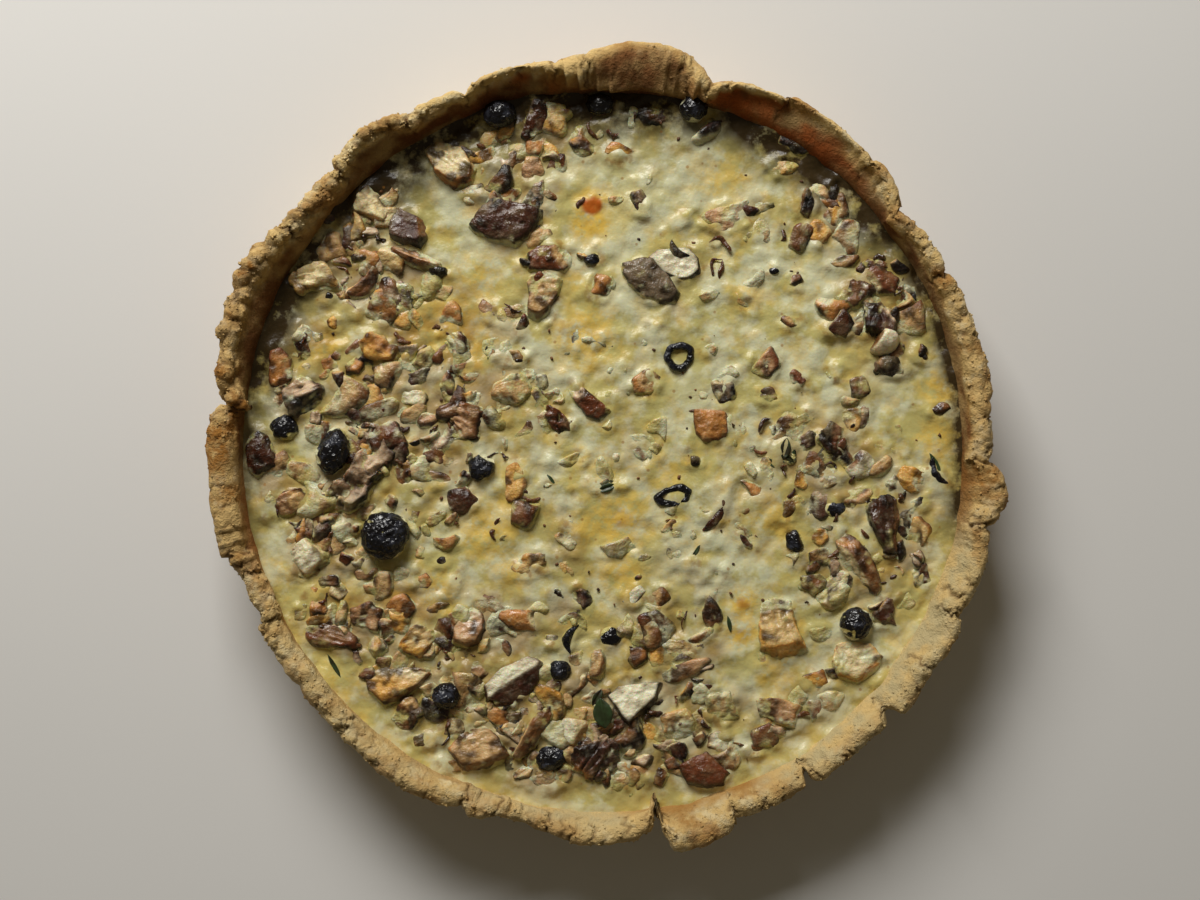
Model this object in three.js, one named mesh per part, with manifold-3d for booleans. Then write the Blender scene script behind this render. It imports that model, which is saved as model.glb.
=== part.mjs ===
// Mushroom tart: a hand-formed shortcrust shell, baked custard, diced mushroom and black olives.
// Millimetres, +Z up. The origin is the middle of the flat base, and +Y is the far side of the tart.
// Angles in the tables are degrees, counterclockwise from +X seen from above.
import * as THREE from "three";
import { ImprovedNoise } from "three/addons/math/ImprovedNoise.js";
import { mergeVertices } from "three/addons/utils/BufferGeometryUtils.js";
import Module from "manifold-3d";

const wasm = await Module();
wasm.setup();

// Driving sizes
const RIM_RADIUS = 139.6; // the tin's radius, which the ragged rim follows
const RIM_HEIGHT = 38;
const BASE_RADIUS = 131;
const BASE_THICKNESS = 4.5;
const FILL_LEVEL = 27;
const BARE_WALL = 5.5; // the least that the rim stands over the filling
const INNER_RADIUS = 129.3; // the filling's radius
const INNER_DRIFT = 2.4; // how far the filling's middle lies off the rim's middle
const INNER_DRIFT_ANGLE = -130;
const LIP_DEPTH = 5; // from the lip's top down to its widest point
const CRAG_DEPTH = 1.8; // relief of the crumbly lip
const CRAG_SIZE = 6;
const NOTCH_WIDTH = 2.3; // degrees, half the width of the gap where two dough pieces meet
const CUSTARD_RELIEF = 0.9;
const CUSTARD_SWELL = 17; // width of one swelling of the baked surface
const CUSTARD_SAG = 0.8; // how far the baked surface has sunk below FILL_LEVEL
const CUSTARD_DRAWN = 0.9; // and how far it is drawn up again at the wall, over the last DRAWN_WIDTH
const DRAWN_WIDTH = 9;
const GAP = 0.35; // between pieces that touch
const TRIM_GAP = 1.6; // round a topping that another is cut by
const BLOB_RELIEF = 0.22; // how uneven a topping is, as a share of its size

// Mesh fineness
const CRUST_SEGMENTS = 124;
const CUSTARD_SEGMENTS = 50;
const CUSTARD_RING_STEP = 10.5;
const WELD = 1e-3;

const noise = new ImprovedNoise();
const radians = THREE.MathUtils.degToRad;
const { clamp, lerp, smoothstep } = THREE.MathUtils;

// The pieces of dough pressed round the tin, counterclockwise: the angle where each starts, how far its
// edge reaches past RIM_RADIUS at its start, middle and end, how far it rises past RIM_HEIGHT, how wide
// its crumbly lip is, and how deep the gap at its start is.
const DOUGH = [
  [-185.7, 2.1, 2.9, 4, 1.5, 10.5, 3],
  [-163.8, 2, -1.4, -0.8, -3, 8, 0.5],
  [-152.5, 1.1, 0, 1, -2, 8, 0.6],
  [-133, 0.9, 3.4, 0.2, -2, 9, 0],
  [-112, 0.5, 1.7, -1, -1.5, 12, 0.8],
  [-106.8, -1, -1.2, 0.5, -4, 6, 0],
  [-99, 0.3, 3.4, -2.4, -3, 8, 0],
  [-82, 6.5, 7.6, 4, -1.5, 11, 9],
  [-71, 1.4, 2.2, 0.9, -2, 8, 0.5],
  [-58.6, 3.5, 1.2, 2.8, -1.5, 8, 4],
  [-43.5, 3.1, 2.5, 0.5, -1, 8, 5],
  [-34.5, 0.5, 3, 0.2, -0.5, 7, 0],
  [-26, -0.2, 2, 0.5, 0, 8, 0],
  [-12, 0.4, 4.2, -2.1, 1, 11, 0.8],
  [-2.5, -3, -2.2, -2.9, 1, 8, 0.5],
  [27, -2.8, -3.8, -6.4, 1.5, 6, 1.2],
  [39, -5, -0.4, 0.3, 2, 6.5, 0],
  [47, -0.5, 0.6, 1.2, 1.5, 3.5, 0.5],
  [62.5, -0.6, -1.4, -4.6, 1.5, 4, 0.6],
  [74, -3.4, -1, 2.4, 2.5, 11, 1],
  [77.5, 2.8, 5.2, 0.4, 4, 18, 0.4],
  [93, 0.5, -0.3, -2, 3, 9, 0],
  [98, -1.6, -0.9, -2.9, 2, 3.5, 0.5],
  [112, -3.2, -2.2, -3.6, 2.5, 5.5, 1.5],
  [121.5, -2.3, 1.6, -1.1, 2, 4.5, 0.5],
  [134.5, -1.2, -1, 0.5, 1, 6.5, 0.4],
  [146, 0.4, 4.2, -4, 2, 7, 0.3],
];
const BLEND = [-3.5, -1.5, 1.5, 3.5]; // degrees over which rise and lip pass from one piece to the next

// The dough piece at an angle, and how far round it the angle is, from 0 to 1.
function doughPiece(angle) {
  const first = DOUGH[0][0];
  const degrees = THREE.MathUtils.euclideanModulo(angle - first, 360) + first;
  const i = DOUGH.findLastIndex(([from]) => degrees >= from);
  const next = DOUGH[(i + 1) % DOUGH.length];
  const [from, start, middle, end, rise, lip, gap] = DOUGH[i];
  const to = THREE.MathUtils.euclideanModulo(next[0] - from, 360) + from;
  const t = (degrees - from) / (to - from);
  const atStart = gap * clamp(1 - (degrees - from) / NOTCH_WIDTH, 0, 1);
  const atEnd = next[6] * clamp(1 - (to - degrees) / NOTCH_WIDTH, 0, 1);
  const bow = start * (1 - t) * (1 - 2 * t) + 4 * middle * t * (1 - t) + end * t * (2 * t - 1);
  return { bow, notch: Math.max(atStart, atEnd), rise, lip };
}

// The rim at an angle, where the heights and lips of neighbouring pieces run into each other.
function doughAt(angle) {
  const { bow, notch } = doughPiece(angle);
  const blended = (key) => BLEND.reduce((sum, by) => sum + doughPiece(angle + by)[key], 0) / BLEND.length;
  return {
    reach: bow - notch,
    rise: blended("rise") - notch * 0.8,
    lip: Math.max(blended("lip") - notch * 0.6, 3),
  };
}

function innerRadius(angle) {
  return INNER_RADIUS + INNER_DRIFT * Math.cos(radians(angle - INNER_DRIFT_ANGLE));
}

// The crust's section at an angle, as [radius, height] from the middle of its base, out, up, over the lip
// and down the inside to the middle of its floor. narrowed is how much it is thickened inwards, which the
// pieces inside are cut by.
function crustSection(angle, narrowed = 0) {
  const { reach, rise, lip } = doughAt(angle);
  const rim = RIM_RADIUS + reach;
  const top = Math.max(RIM_HEIGHT + rise, FILL_LEVEL + BARE_WALL);
  const inner = innerRadius(angle) - narrowed;
  const lipInside = rim - lip - narrowed;
  return [
    [0, 0],
    [BASE_RADIUS, 0],
    [BASE_RADIUS + 3, 1.4],
    [BASE_RADIUS + 4.5, 6],
    [lerp(BASE_RADIUS + 5, rim, 0.25), 16],
    [lerp(BASE_RADIUS + 5, rim, 0.6), 26],
    [rim, top - LIP_DEPTH],
    [rim - lip * 0.14, top - 1.6],
    [rim - lip * 0.45, top],
    [rim - lip * 0.82, top - 1.3],
    [lipInside, top - LIP_DEPTH * 0.8],
    [lerp(inner, lipInside, 0.5), (top + FILL_LEVEL) / 2 - 0.5],
    [inner + 0.4, FILL_LEVEL + 1.6],
    [inner - 2.5, BASE_THICKNESS + 8],
    [inner - 8, BASE_THICKNESS + narrowed],
    [0, BASE_THICKNESS + narrowed],
  ];
}

// How crumbly each of the section's points is: smooth below and inside, full on the lip.
const CRUMBLY = [0, 0, 0, 0, 0, 0.4, 1, 1, 1, 1, 1, 0.4, 0, 0, 0, 0];

// A closed solid of revolution whose section changes with the angle.
function turned(sectionAt, segments, offset = () => 0) {
  const sections = Array.from({ length: segments }, (_, i) => sectionAt((360 * i) / segments));
  const count = sections[0].length;
  const outline = sections[0].map(([radius, height]) => new THREE.Vector2(radius, height));
  const geometry = new THREE.LatheGeometry(outline, segments);
  const position = geometry.getAttribute("position");
  for (let i = 0; i <= segments; i++) {
    const angle = (2 * Math.PI * (i % segments)) / segments;
    sections[i % segments].forEach(([radius, height], j) => {
      const out = radius + offset(angle, radius, height, j);
      position.setXYZ(i * count + j, out * Math.cos(angle), out * Math.sin(angle), height);
    });
  }
  return geometry;
}

// A geometry as a solid that can be cut and joined: shared vertices merged, faces turned outwards.
function solid(geometry) {
  const bare = new THREE.BufferGeometry();
  bare.setAttribute("position", geometry.getAttribute("position"));
  bare.setIndex(geometry.getIndex());
  const merged = mergeVertices(bare, WELD);
  const corners = merged.getIndex().array;
  const faces = [];
  for (let i = 0; i < corners.length; i += 3) {
    const [a, b, c] = corners.slice(i, i + 3);
    if (a !== b && b !== c && c !== a) faces.push(a, b, c);
  }
  const vertProperties = merged.getAttribute("position").array;
  const bodyOf = (triangles) => {
    const triVerts = Uint32Array.from(triangles);
    return new wasm.Manifold(new wasm.Mesh({ numProp: 3, vertProperties, triVerts }));
  };
  const body = bodyOf(faces);
  return body.volume() > 0 ? body : bodyOf(faces.reverse());
}

// A solid as a geometry with normals.
function geometryOf(body) {
  const { vertProperties, triVerts, numProp, numVert } = body.getMesh();
  const points = new Float32Array(numVert * 3);
  for (let i = 0; i < numVert; i++) {
    points.set(vertProperties.subarray(i * numProp, i * numProp + 3), i * 3);
  }
  const geometry = new THREE.BufferGeometry();
  geometry.setAttribute("position", new THREE.BufferAttribute(points, 3));
  geometry.setIndex(new THREE.BufferAttribute(triVerts, 1));
  geometry.computeVertexNormals();
  return geometry;
}

// Crags and crumbs along the lip: how far the section's point j is pushed out.
function crag(angle, radius, height, j) {
  const [x, y] = [radius * Math.cos(angle), radius * Math.sin(angle)];
  return CRAG_DEPTH * CRUMBLY[j] * noise.noise(x / CRAG_SIZE, y / CRAG_SIZE, height / CRAG_SIZE);
}

function crust() {
  return solid(turned((angle) => crustSection(angle), CRUST_SEGMENTS, crag));
}

// The crust grown by a gap on its inside, which everything inside the shell is cut by.
function crustGuard() {
  return solid(turned((angle) => crustSection(angle, GAP), CRUST_SEGMENTS, crag));
}

// The baked surface: soft swellings, a little lower in the middle, and drawn up at the wall.
function custardTop(x, y) {
  const radius = Math.hypot(x, y);
  const swell = noise.noise(x / CUSTARD_SWELL, y / CUSTARD_SWELL, 3.7);
  const fine = noise.noise((2.3 * x) / CUSTARD_SWELL, (2.3 * y) / CUSTARD_SWELL, 9.1);
  const drawn = CUSTARD_DRAWN * smoothstep(radius, INNER_RADIUS - DRAWN_WIDTH, INNER_RADIUS);
  return FILL_LEVEL - CUSTARD_SAG + CUSTARD_RELIEF * (1.2 * swell + 0.6 * fine) + drawn;
}

// The custard as a disc that fills the shell, raised and widened by lift where something is to lie on it.
function custard(lift = 0) {
  const rings = Math.round(INNER_RADIUS / CUSTARD_RING_STEP);
  const section = (angle) => {
    const inner = innerRadius(angle) - GAP + lift;
    const top = Array.from({ length: rings + 1 }, (_, k) => [(inner * (rings - k)) / rings, FILL_LEVEL]);
    const bottom = BASE_THICKNESS + GAP;
    return [[0, bottom], [inner - 8, bottom], [inner - 2.5, BASE_THICKNESS + 8], ...top];
  };
  const geometry = turned(section, CUSTARD_SEGMENTS);
  const position = geometry.getAttribute("position");
  for (let i = 0; i < position.count; i++) {
    if (position.getZ(i) < FILL_LEVEL - 0.01) continue;
    position.setZ(i, custardTop(position.getX(i), position.getY(i)) + lift);
  }
  return solid(geometry);
}

// A rounded block: a sphere pushed towards a box, more so the lower its softness, and a little uneven.
function blob(long, wide, tall, softness, around = 9, down = 6) {
  const geometry = new THREE.SphereGeometry(1, around, down);
  const position = geometry.getAttribute("position");
  const push = (c) => Math.sign(c) * Math.abs(c) ** softness;
  for (let i = 0; i < position.count; i++) {
    const [x, y, z] = [position.getX(i), position.getZ(i), position.getY(i)].map(push);
    const uneven = 1 + BLOB_RELIEF * noise.noise(1.3 * x + long, 1.3 * y + wide, 1.3 * z + tall);
    position.setXYZ(i, (x * uneven * long) / 2, (y * uneven * wide) / 2, (z * uneven * tall) / 2);
  }
  return geometry;
}

// A dice of mushroom cap: the cap's dome above, knife cuts at the sides.
function capChunk(long, wide, tall) {
  const dome = new THREE.SphereGeometry(1, 9, 6);
  dome.scale(long * 0.62, tall, long * 0.58);
  dome.rotateX(Math.PI / 2);
  dome.translate(long * 0.08, wide * 0.1, -tall / 2);
  const cuts = new THREE.BoxGeometry(long, wide, tall * 2);
  const position = cuts.getAttribute("position");
  for (let i = 0; i < position.count; i++) {
    const skew = 1 - 0.28 * Math.sign(position.getX(i));
    position.setY(i, position.getY(i) * skew);
  }
  return geometryOf(solid(dome).intersect(solid(cuts)));
}

// A wedge of flesh that thins towards one end.
function fleshWedge(long, wide, tall) {
  const geometry = new THREE.BoxGeometry(long, wide, tall, 3, 2, 2);
  const position = geometry.getAttribute("position");
  for (let i = 0; i < position.count; i++) {
    const along = position.getX(i) / long + 0.5;
    const round = 1 - 0.35 * (2 * along - 1) ** 2;
    const uneven = 1 + 0.25 * noise.noise(position.getX(i), position.getY(i) + long, position.getZ(i));
    position.setY(i, position.getY(i) * lerp(1.15, 0.35, along) * uneven * round);
    position.setZ(i, position.getZ(i) * lerp(1.05, 0.7, along) * uneven);
  }
  return geometry;
}

// A slice through a whole mushroom, lying on its side: half a cap with its rolled edge, and the stalk.
function capSlice(long, wide, tall) {
  const [cap, stalk] = [wide / 2, wide * 0.17];
  const outline = new THREE.Shape();
  outline.moveTo(long * 0.5, -stalk * 0.8);
  outline.lineTo(long * 0.5, stalk);
  outline.lineTo(long * 0.02, stalk * 1.1);
  outline.quadraticCurveTo(long * 0.04, cap * 0.8, long * 0.1, cap * 0.92);
  outline.quadraticCurveTo(-long * 0.08, cap * 1.08, -long * 0.3, cap * 0.72);
  outline.quadraticCurveTo(-long * 0.52, cap * 0.3, -long * 0.5, 0);
  outline.quadraticCurveTo(-long * 0.52, -cap * 0.5, -long * 0.28, -cap * 0.78);
  outline.quadraticCurveTo(-long * 0.05, -cap * 1.05, long * 0.08, -cap * 0.85);
  outline.quadraticCurveTo(0, -cap * 0.5, long * 0.02, -stalk);
  const options = { depth: tall, bevelEnabled: false, curveSegments: 3 };
  const geometry = new THREE.ExtrudeGeometry(outline, options);
  geometry.translate(0, 0, -tall / 2);
  return geometry;
}

// A torn fan of cap, thick at its rim and ribbed by the gills.
function gillFan(long, wide, tall) {
  const ribs = 7;
  const spread = clamp(wide / long, 0.5, 1.1);
  const outline = new THREE.Shape();
  outline.moveTo(-long * 0.5, -long * 0.08);
  for (let k = 0; k <= ribs; k++) {
    const turn = spread * ((2 * k) / ribs - 1);
    const reach = long * (0.92 + 0.08 * (k % 2));
    outline.lineTo(reach * Math.cos(turn * 0.75) - long * 0.5, reach * 0.55 * Math.sin(turn * 1.3));
  }
  outline.lineTo(-long * 0.46, long * 0.08);
  const geometry = new THREE.ExtrudeGeometry(outline, { depth: tall, bevelEnabled: false });
  const position = geometry.getAttribute("position");
  for (let i = 0; i < position.count; i++) {
    const bow = 1 - (position.getX(i) / (long * 0.5)) ** 2;
    position.setZ(i, position.getZ(i) - tall / 2 + tall * 0.25 * bow);
  }
  return geometry;
}

// A length of stalk, wider at both ends and a little bent.
function stalk(long, wide, tall) {
  const flare = [0.92, 0.8, 0.76, 0.84, 1];
  const outline = [new THREE.Vector2(0, -long / 2)];
  flare.forEach((share, k) => {
    outline.push(new THREE.Vector2((share * wide) / 2, long * (k / (flare.length - 1) - 0.5)));
  });
  outline.push(new THREE.Vector2(0, long / 2));
  const geometry = new THREE.LatheGeometry(outline, 9);
  geometry.rotateZ(-Math.PI / 2);
  const position = geometry.getAttribute("position");
  for (let i = 0; i < position.count; i++) {
    const bend = (position.getX(i) / long) ** 2;
    position.setY(i, position.getY(i) + bend * wide * 0.8);
    position.setZ(i, (position.getZ(i) * tall) / wide);
  }
  return geometry;
}

function olive(long, wide, tall) {
  const geometry = new THREE.SphereGeometry(0.5, 11, 7);
  geometry.rotateX(Math.PI / 2);
  geometry.scale(long, wide, tall);
  return geometry;
}

// A slice of pitted olive, tipped so that one side stands out of the custard.
function oliveRing(long, wide, tall) {
  const [middle, tube] = [long * 0.34, long * 0.16];
  const outline = Array.from({ length: 7 }, (_, k) => {
    const turn = (2 * Math.PI * (k % 6)) / 6;
    return new THREE.Vector2(middle + tube * Math.cos(turn), (tall / 2) * Math.sin(turn));
  });
  const geometry = new THREE.LatheGeometry(outline, 12);
  geometry.rotateX(Math.PI / 2);
  geometry.scale(1, wide / long, 1);
  geometry.rotateX(0.35);
  return geometry;
}

// A small bit, for what is fused to the custard.
function crumb(long, wide, tall) {
  const geometry = new THREE.IcosahedronGeometry(0.5, 0);
  geometry.scale(long * 1.05, wide * 1.05, tall);
  return geometry;
}

const dice = (long, wide, tall) => blob(long, wide, tall, 0.62);
const lump = (long, wide, tall) => blob(long, wide, tall, 0.9, 8, 5);

// How each sort is shaped, how tall it is for its width, and what it looks like.
const SORTS = {
  cap_dark: { shape: capChunk, tall: 0.8, colour: 0x3c2a24, roughness: 0.5 },
  cap_red: { shape: capChunk, tall: 0.8, colour: 0x57301a, roughness: 0.4 },
  cap_grey: { shape: capChunk, tall: 0.8, colour: 0x574b40, roughness: 0.5 },
  dice_gold: { shape: dice, tall: 0.8, colour: 0xa4763a, roughness: 0.45 },
  dice_tan: { shape: dice, tall: 0.8, colour: 0x9c7650, roughness: 0.5 },
  dice_cream: { shape: dice, tall: 0.8, colour: 0xc8b489, roughness: 0.6 },
  dice_red: { shape: dice, tall: 0.8, colour: 0x7d4826, roughness: 0.45 },
  wedge_gold: { shape: fleshWedge, tall: 0.8, colour: 0xa4763a, roughness: 0.45 },
  wedge_red: { shape: fleshWedge, tall: 0.9, colour: 0x6b3a22, roughness: 0.45 },
  lump_gold: { shape: lump, tall: 0.7, colour: 0xb98d48, roughness: 0.5 },
  slice_cream: { shape: capSlice, tall: 0.36, colour: 0xc6b18c, roughness: 0.6 },
  gill: { shape: gillFan, tall: 0.5, colour: 0x6a5145, roughness: 0.6 },
  stalk: { shape: stalk, tall: 1, colour: 0x8a6238, roughness: 0.5 },
  olive: { shape: olive, tall: 0.95, colour: 0x17171c, roughness: 0.25 },
  ring: { shape: oliveRing, tall: 0.5, colour: 0x1a1a1f, roughness: 0.3 },
};

// The pieces that are nodes, in each sort: x, y, length, width, how far it stands out of the custard, and
// the angle of its length.
const PIECES = {
  cap_dark: [
    [-37, 80.5, 26, 17, 4.2, -12],
    [-70.5, 78, 15.5, 13.5, 4.5, 80],
    [99.5, 41.5, 22, 14, 4.4, 75],
    [-124.5, -3.5, 19, 9, 3.6, -80],
    [-109.5, 17, 17, 13, 4.8, 40],
    [-27, 116.5, 20, 9.5, 4, 65],
    [-71.5, -97, 15, 9.5, 3.6, 30],
    [100.5, -29.5, 27, 10, 3.6, 100],
  ],
  cap_red: [
    [34.5, -116.5, 20, 16, 5, -10],
    [-34.5, -85, 20, 16.5, 5.2, 30],
    [81, 2, 16, 12, 4.2, -10],
    [97.3, 58.8, 17, 13.5, 4, -35],
    [-18.5, 8.5, 14.5, 10, 3, -20],
    [-20.5, 67.5, 20, 10, 3.6, 8],
    [37.5, 5, 12, 11.5, 3.2, 5],
  ],
  cap_grey: [[13.5, 58.8, 22, 16.5, 4, -35]],
  dice_gold: [
    [-82.5, 35, 19, 10, 4.2, -30],
    [-67.5, -70.5, 17, 12.5, 3.8, 35],
    [63, -67, 22, 13.5, 3.8, 98],
    [112.6, -30.5, 16, 10, 3.2, 80],
    [-33, -13.5, 17, 8, 2.8, 88],
  ],
  dice_tan: [
    [-55.5, 100.5, 18, 15, 4.4, -40],
    [-22.8, 52, 19, 12, 3.4, 78],
    [-34.5, 20, 18, 13.5, 3, 10],
    [-86, -61.5, 14, 13, 3.8, 30],
    [40.5, -94, 16, 12.5, 2.8, 80],
    [-43.5, -109, 23, 13.5, 4, -15],
  ],
  dice_cream: [
    [-84.5, 86, 18, 12, 4.4, -55],
    [-105.5, 59.5, 20, 10.5, 5.4, 5],
    [-108, -40, 14.5, 13.5, 4.4, 20],
    [92.5, -79.5, 16.5, 14, 4, 10],
    [82, -54, 17, 9, 3.2, 25],
  ],
  dice_red: [
    [-76.5, -86, 27, 10.5, 4.2, -6],
    [63, -96.5, 22, 11.5, 4.2, -20],
    [-118, 28, 17, 8.5, 4, 95],
    [-99, -69, 23, 8.5, 3.4, -15],
    [-30, -63, 20, 8, 3, -4],
  ],
  wedge_gold: [
    [-47.5, -64, 18.5, 11.5, 4, 72],
    [110, -12.5, 16, 11, 3.2, -25],
  ],
  wedge_red: [
    [-6, 16.5, 17, 8, 3.4, -40],
    [-113.5, -20.5, 16.5, 9.5, 3.8, 22],
  ],
  lump_gold: [
    [90, -41, 27, 10.5, 5, -58],
    [24.5, -99.5, 14.5, 12.5, 3.2, 0],
  ],
  slice_cream: [
    [28.3, 65.2, 16, 14, 2.6, -15],
    [44, 82.5, 21, 12, 2.6, 10],
    [9.5, -88.5, 28, 15, 3.6, 25],
  ],
  gill: [
    [-88, -14.5, 22, 16, 5, 48],
    [-51.5, 8.5, 16.5, 13, 3.4, -30],
    [-4, -112, 22, 13, 5, 55],
  ],
  stalk: [
    [-68, 66, 22, 5.5, 4.6, -20],
    [-26.5, -104.5, 27, 6.5, 4.6, 52],
  ],
  olive: [
    [-79.5, -31.8, 18.5, 17.5, 9.5, 30],
    [-98.5, -1.5, 18, 12, 7.5, 82],
    [89.2, -63.8, 12, 12, 7.5, 0],
    [-57.5, -89.5, 10.5, 10.5, 6.5, 0],
    [-45, -7.5, 10.5, 9.5, 4.5, 60],
  ],
  ring: [[26, 32, 12.5, 12, 3, 30]],
};

// The smaller bits that are fused to the custard: x, y, length, width and the angle of its length.
const BITS = [
  [-47.5, 90.5, 9, 7, 0], [-36, 103, 10, 9, 30], [-26.5, 99, 12, 8, 80], [11, 88.5, 14, 7, 110],
  [4.5, 104.5, 12, 8, -20], [63.5, 100.5, 13, 8, 10], [71.5, 87, 11.5, 9, 80], [76.5, 76, 11, 9, -60],
  [48.5, 53, 13, 6, -45], [-2.5, 57, 11, 10, 40], [-42.5, 48, 12, 6, -50], [-78.5, 53, 16, 8, 85],
  [-93, 73.5, 12, 7, 60], [-109.5, 40, 11, 9, 0], [-103.5, 32, 9, 7, 0], [-70, 17.5, 12, 8, -30],
  [-85.5, 17, 13, 9, 0], [-52.5, 28, 11, 7, 0], [-34.5, 31.5, 12, 5, 0], [-62, -3, 12, 8, -50],
  [-13.5, -5, 13, 6, 10], [-0.5, -14, 12, 6, 0], [-15.5, -32, 15, 7, -60], [-26.5, -43, 19, 8, 20],
  [-55, -36, 9, 5, 70], [-9.5, -55, 13, 8, 100], [-97, -27, 9, 6, 80], [-72, -47, 11, 8, 0],
  [14, 22.5, 13, 9, 40], [41, 21, 12, 8, 100], [69, 24, 9, 5, -50], [83, 26, 10, 7, 0],
  [70, 11, 10, 6, 20], [63.5, -3, 10, 7, 70], [98.5, 0, 12, 6, -15], [80.5, -12, 13, 7, 0],
  [118, 13, 9, 5, 0], [87, -18.5, 12, 5, 5], [67.5, -34.5, 9, 6, -60], [111.5, -48, 9, 7, 80],
  [66, -22.5, 15, 6, 30], [40, -24.5, 17, 4, 60], [24, -18.5, 13, 8, 0], [9.5, -53, 9, 9, 0],
  [19, -54.5, 11, 8, 0], [33, -45, 17, 8, -10], [37, -60, 15, 8, 100], [1.5, -68.5, 9, 7, 0],
  [106.5, -56, 9, 7, 20], [-16, -70, 11, 8, 50], [-50.5, -79, 10, 9, 0], [-10.5, -86.5, 14, 6, 50],
  [10.5, -74.5, 9, 9, 0], [26, -73.5, 15, 8, -10], [33.5, -80.5, 10, 5, 20], [75.5, -85, 10, 9, 0],
  [77, -92, 10, 9, 40], [54, -108, 10, 4, 10], [-12.3, -102.5, 11, 10, 45], [17, -118, 10, 7, -40],
  [83.5, 43.5, 12, 10.5, 12], [-52.5, -20, 12, 10.5, 20], [-59, -48, 13, 9, 20],
  [57.5, 30, 12, 11.5, 10], [30, 117.5, 10, 9, 0], [-41, 113.5, 9, 8, 0], [-4, 118, 10, 8, 0],
  [99.8, -60.3, 11, 10, 60], [90.8, -7, 11, 10, 0], [118.5, -9.5, 10, 4, -55], [18, 41, 9, 5, 20],
];
const BIT_PROUD = 2.3; // how far a bit stands out of the custard
const BIT_TALL = 6;
const BIT_ROOM = 0.6; // between a bit and the pieces round it

function boxesMeet(a, b, room = 0) {
  const [p, q] = [a.boundingBox(), b.boundingBox()];
  return [0, 1, 2].every((k) => p.min[k] - room < q.max[k] && q.min[k] - room < p.max[k]);
}

// A solid scaled about the middle of its box so that it grows by a gap on every side.
function grown(body, by) {
  const geometry = geometryOf(body);
  geometry.computeBoundingBox();
  const middle = geometry.boundingBox.getCenter(new THREE.Vector3());
  const size = geometry.boundingBox.getSize(new THREE.Vector3());
  geometry.center();
  geometry.scale(1 + (2 * by) / size.x, 1 + (2 * by) / size.y, 1 + (2 * by) / size.z);
  geometry.translate(middle.x, middle.y, middle.z);
  return solid(geometry);
}

function largest(body) {
  return body.decompose().sort((a, b) => b.volume() - a.volume())[0];
}

// A shape turned, and set so that it stands out of the custard by proud.
function settled(geometry, x, y, proud, turn) {
  geometry.rotateZ(radians(turn));
  geometry.computeBoundingBox();
  geometry.translate(x, y, custardTop(x, y) + proud - geometry.boundingBox.max.z);
  return solid(geometry);
}

// A mesh whose own origin is at place, a point of the tart.
function meshOf(name, body, { colour, roughness }, place = [0, 0, 0]) {
  const geometry = geometryOf(body);
  geometry.translate(...place.map((c) => -c));
  const material = new THREE.MeshStandardMaterial({ color: colour, roughness, metalness: 0 });
  const mesh = new THREE.Mesh(geometry, material);
  mesh.name = name;
  mesh.position.set(...place);
  return mesh;
}

// Each piece lies on the custard and clear of the crust and of the pieces set before it.
function toppings(guard, bed) {
  const placed = [];
  for (const [sort, rows] of Object.entries(PIECES)) {
    rows.forEach(([x, y, long, wide, proud, turn], i) => {
      const { shape, tall } = SORTS[sort];
      let body = settled(shape(long, wide, wide * tall), x, y, proud, turn).subtract(bed);
      if (Math.hypot(x, y) + long / 2 > INNER_RADIUS - 6) body = body.subtract(guard);
      for (const other of placed) {
        if (boxesMeet(body, other.body, TRIM_GAP)) body = body.subtract(grown(other.body, TRIM_GAP));
      }
      const name = `${sort}_${String(i + 1).padStart(2, "0")}`;
      placed.push({ name, sort, body: largest(body), place: [x, y, FILL_LEVEL] });
    });
  }
  return placed;
}

// The custard with its small bits fused on, each clear of the pieces and the crust.
function custardWithBits(plain, placed) {
  const clearOf = (bit) => {
    const near = placed.filter(({ body }) => boxesMeet(bit, body, BIT_ROOM));
    return near.every(({ body }) => grown(bit, BIT_ROOM).intersect(body).isEmpty());
  };
  const bits = BITS.filter(([x, y, long]) => Math.hypot(x, y) + long / 2 < INNER_RADIUS - 2)
    .map(([x, y, long, wide, turn]) => settled(crumb(long, wide, BIT_TALL), x, y, BIT_PROUD, turn))
    .filter(clearOf);
  return largest(bits.reduce((whole, bit) => whole.add(bit), plain));
}

const CRUST_LOOK = { colour: 0xb89257, roughness: 0.85 };
const CUSTARD_LOOK = { colour: 0xcbbd84, roughness: 0.45 };

function tart() {
  const placed = toppings(crustGuard(), custard(GAP));
  const group = new THREE.Group();
  group.add(meshOf("crust", crust(), CRUST_LOOK));
  group.add(meshOf("custard", custardWithBits(custard(), placed), CUSTARD_LOOK));
  placed.forEach(({ name, sort, body, place }) => group.add(meshOf(name, body, SORTS[sort], place)));
  const middle = new THREE.Box3().setFromObject(group).getCenter(new THREE.Vector3());
  group.position.set(-middle.x, -middle.y, 0);
  return group;
}

export default tart();
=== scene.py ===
"""The mushroom tart's looks: crust, crumbs, custard, mushroom, olives and herbs, and the stage it lies on.

Arrays are in millimetres from the middle of the rim, +Y at the far side. placed() turns them into metres
in the frame. Angles are degrees, counterclockwise from +X seen from above.
"""

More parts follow.
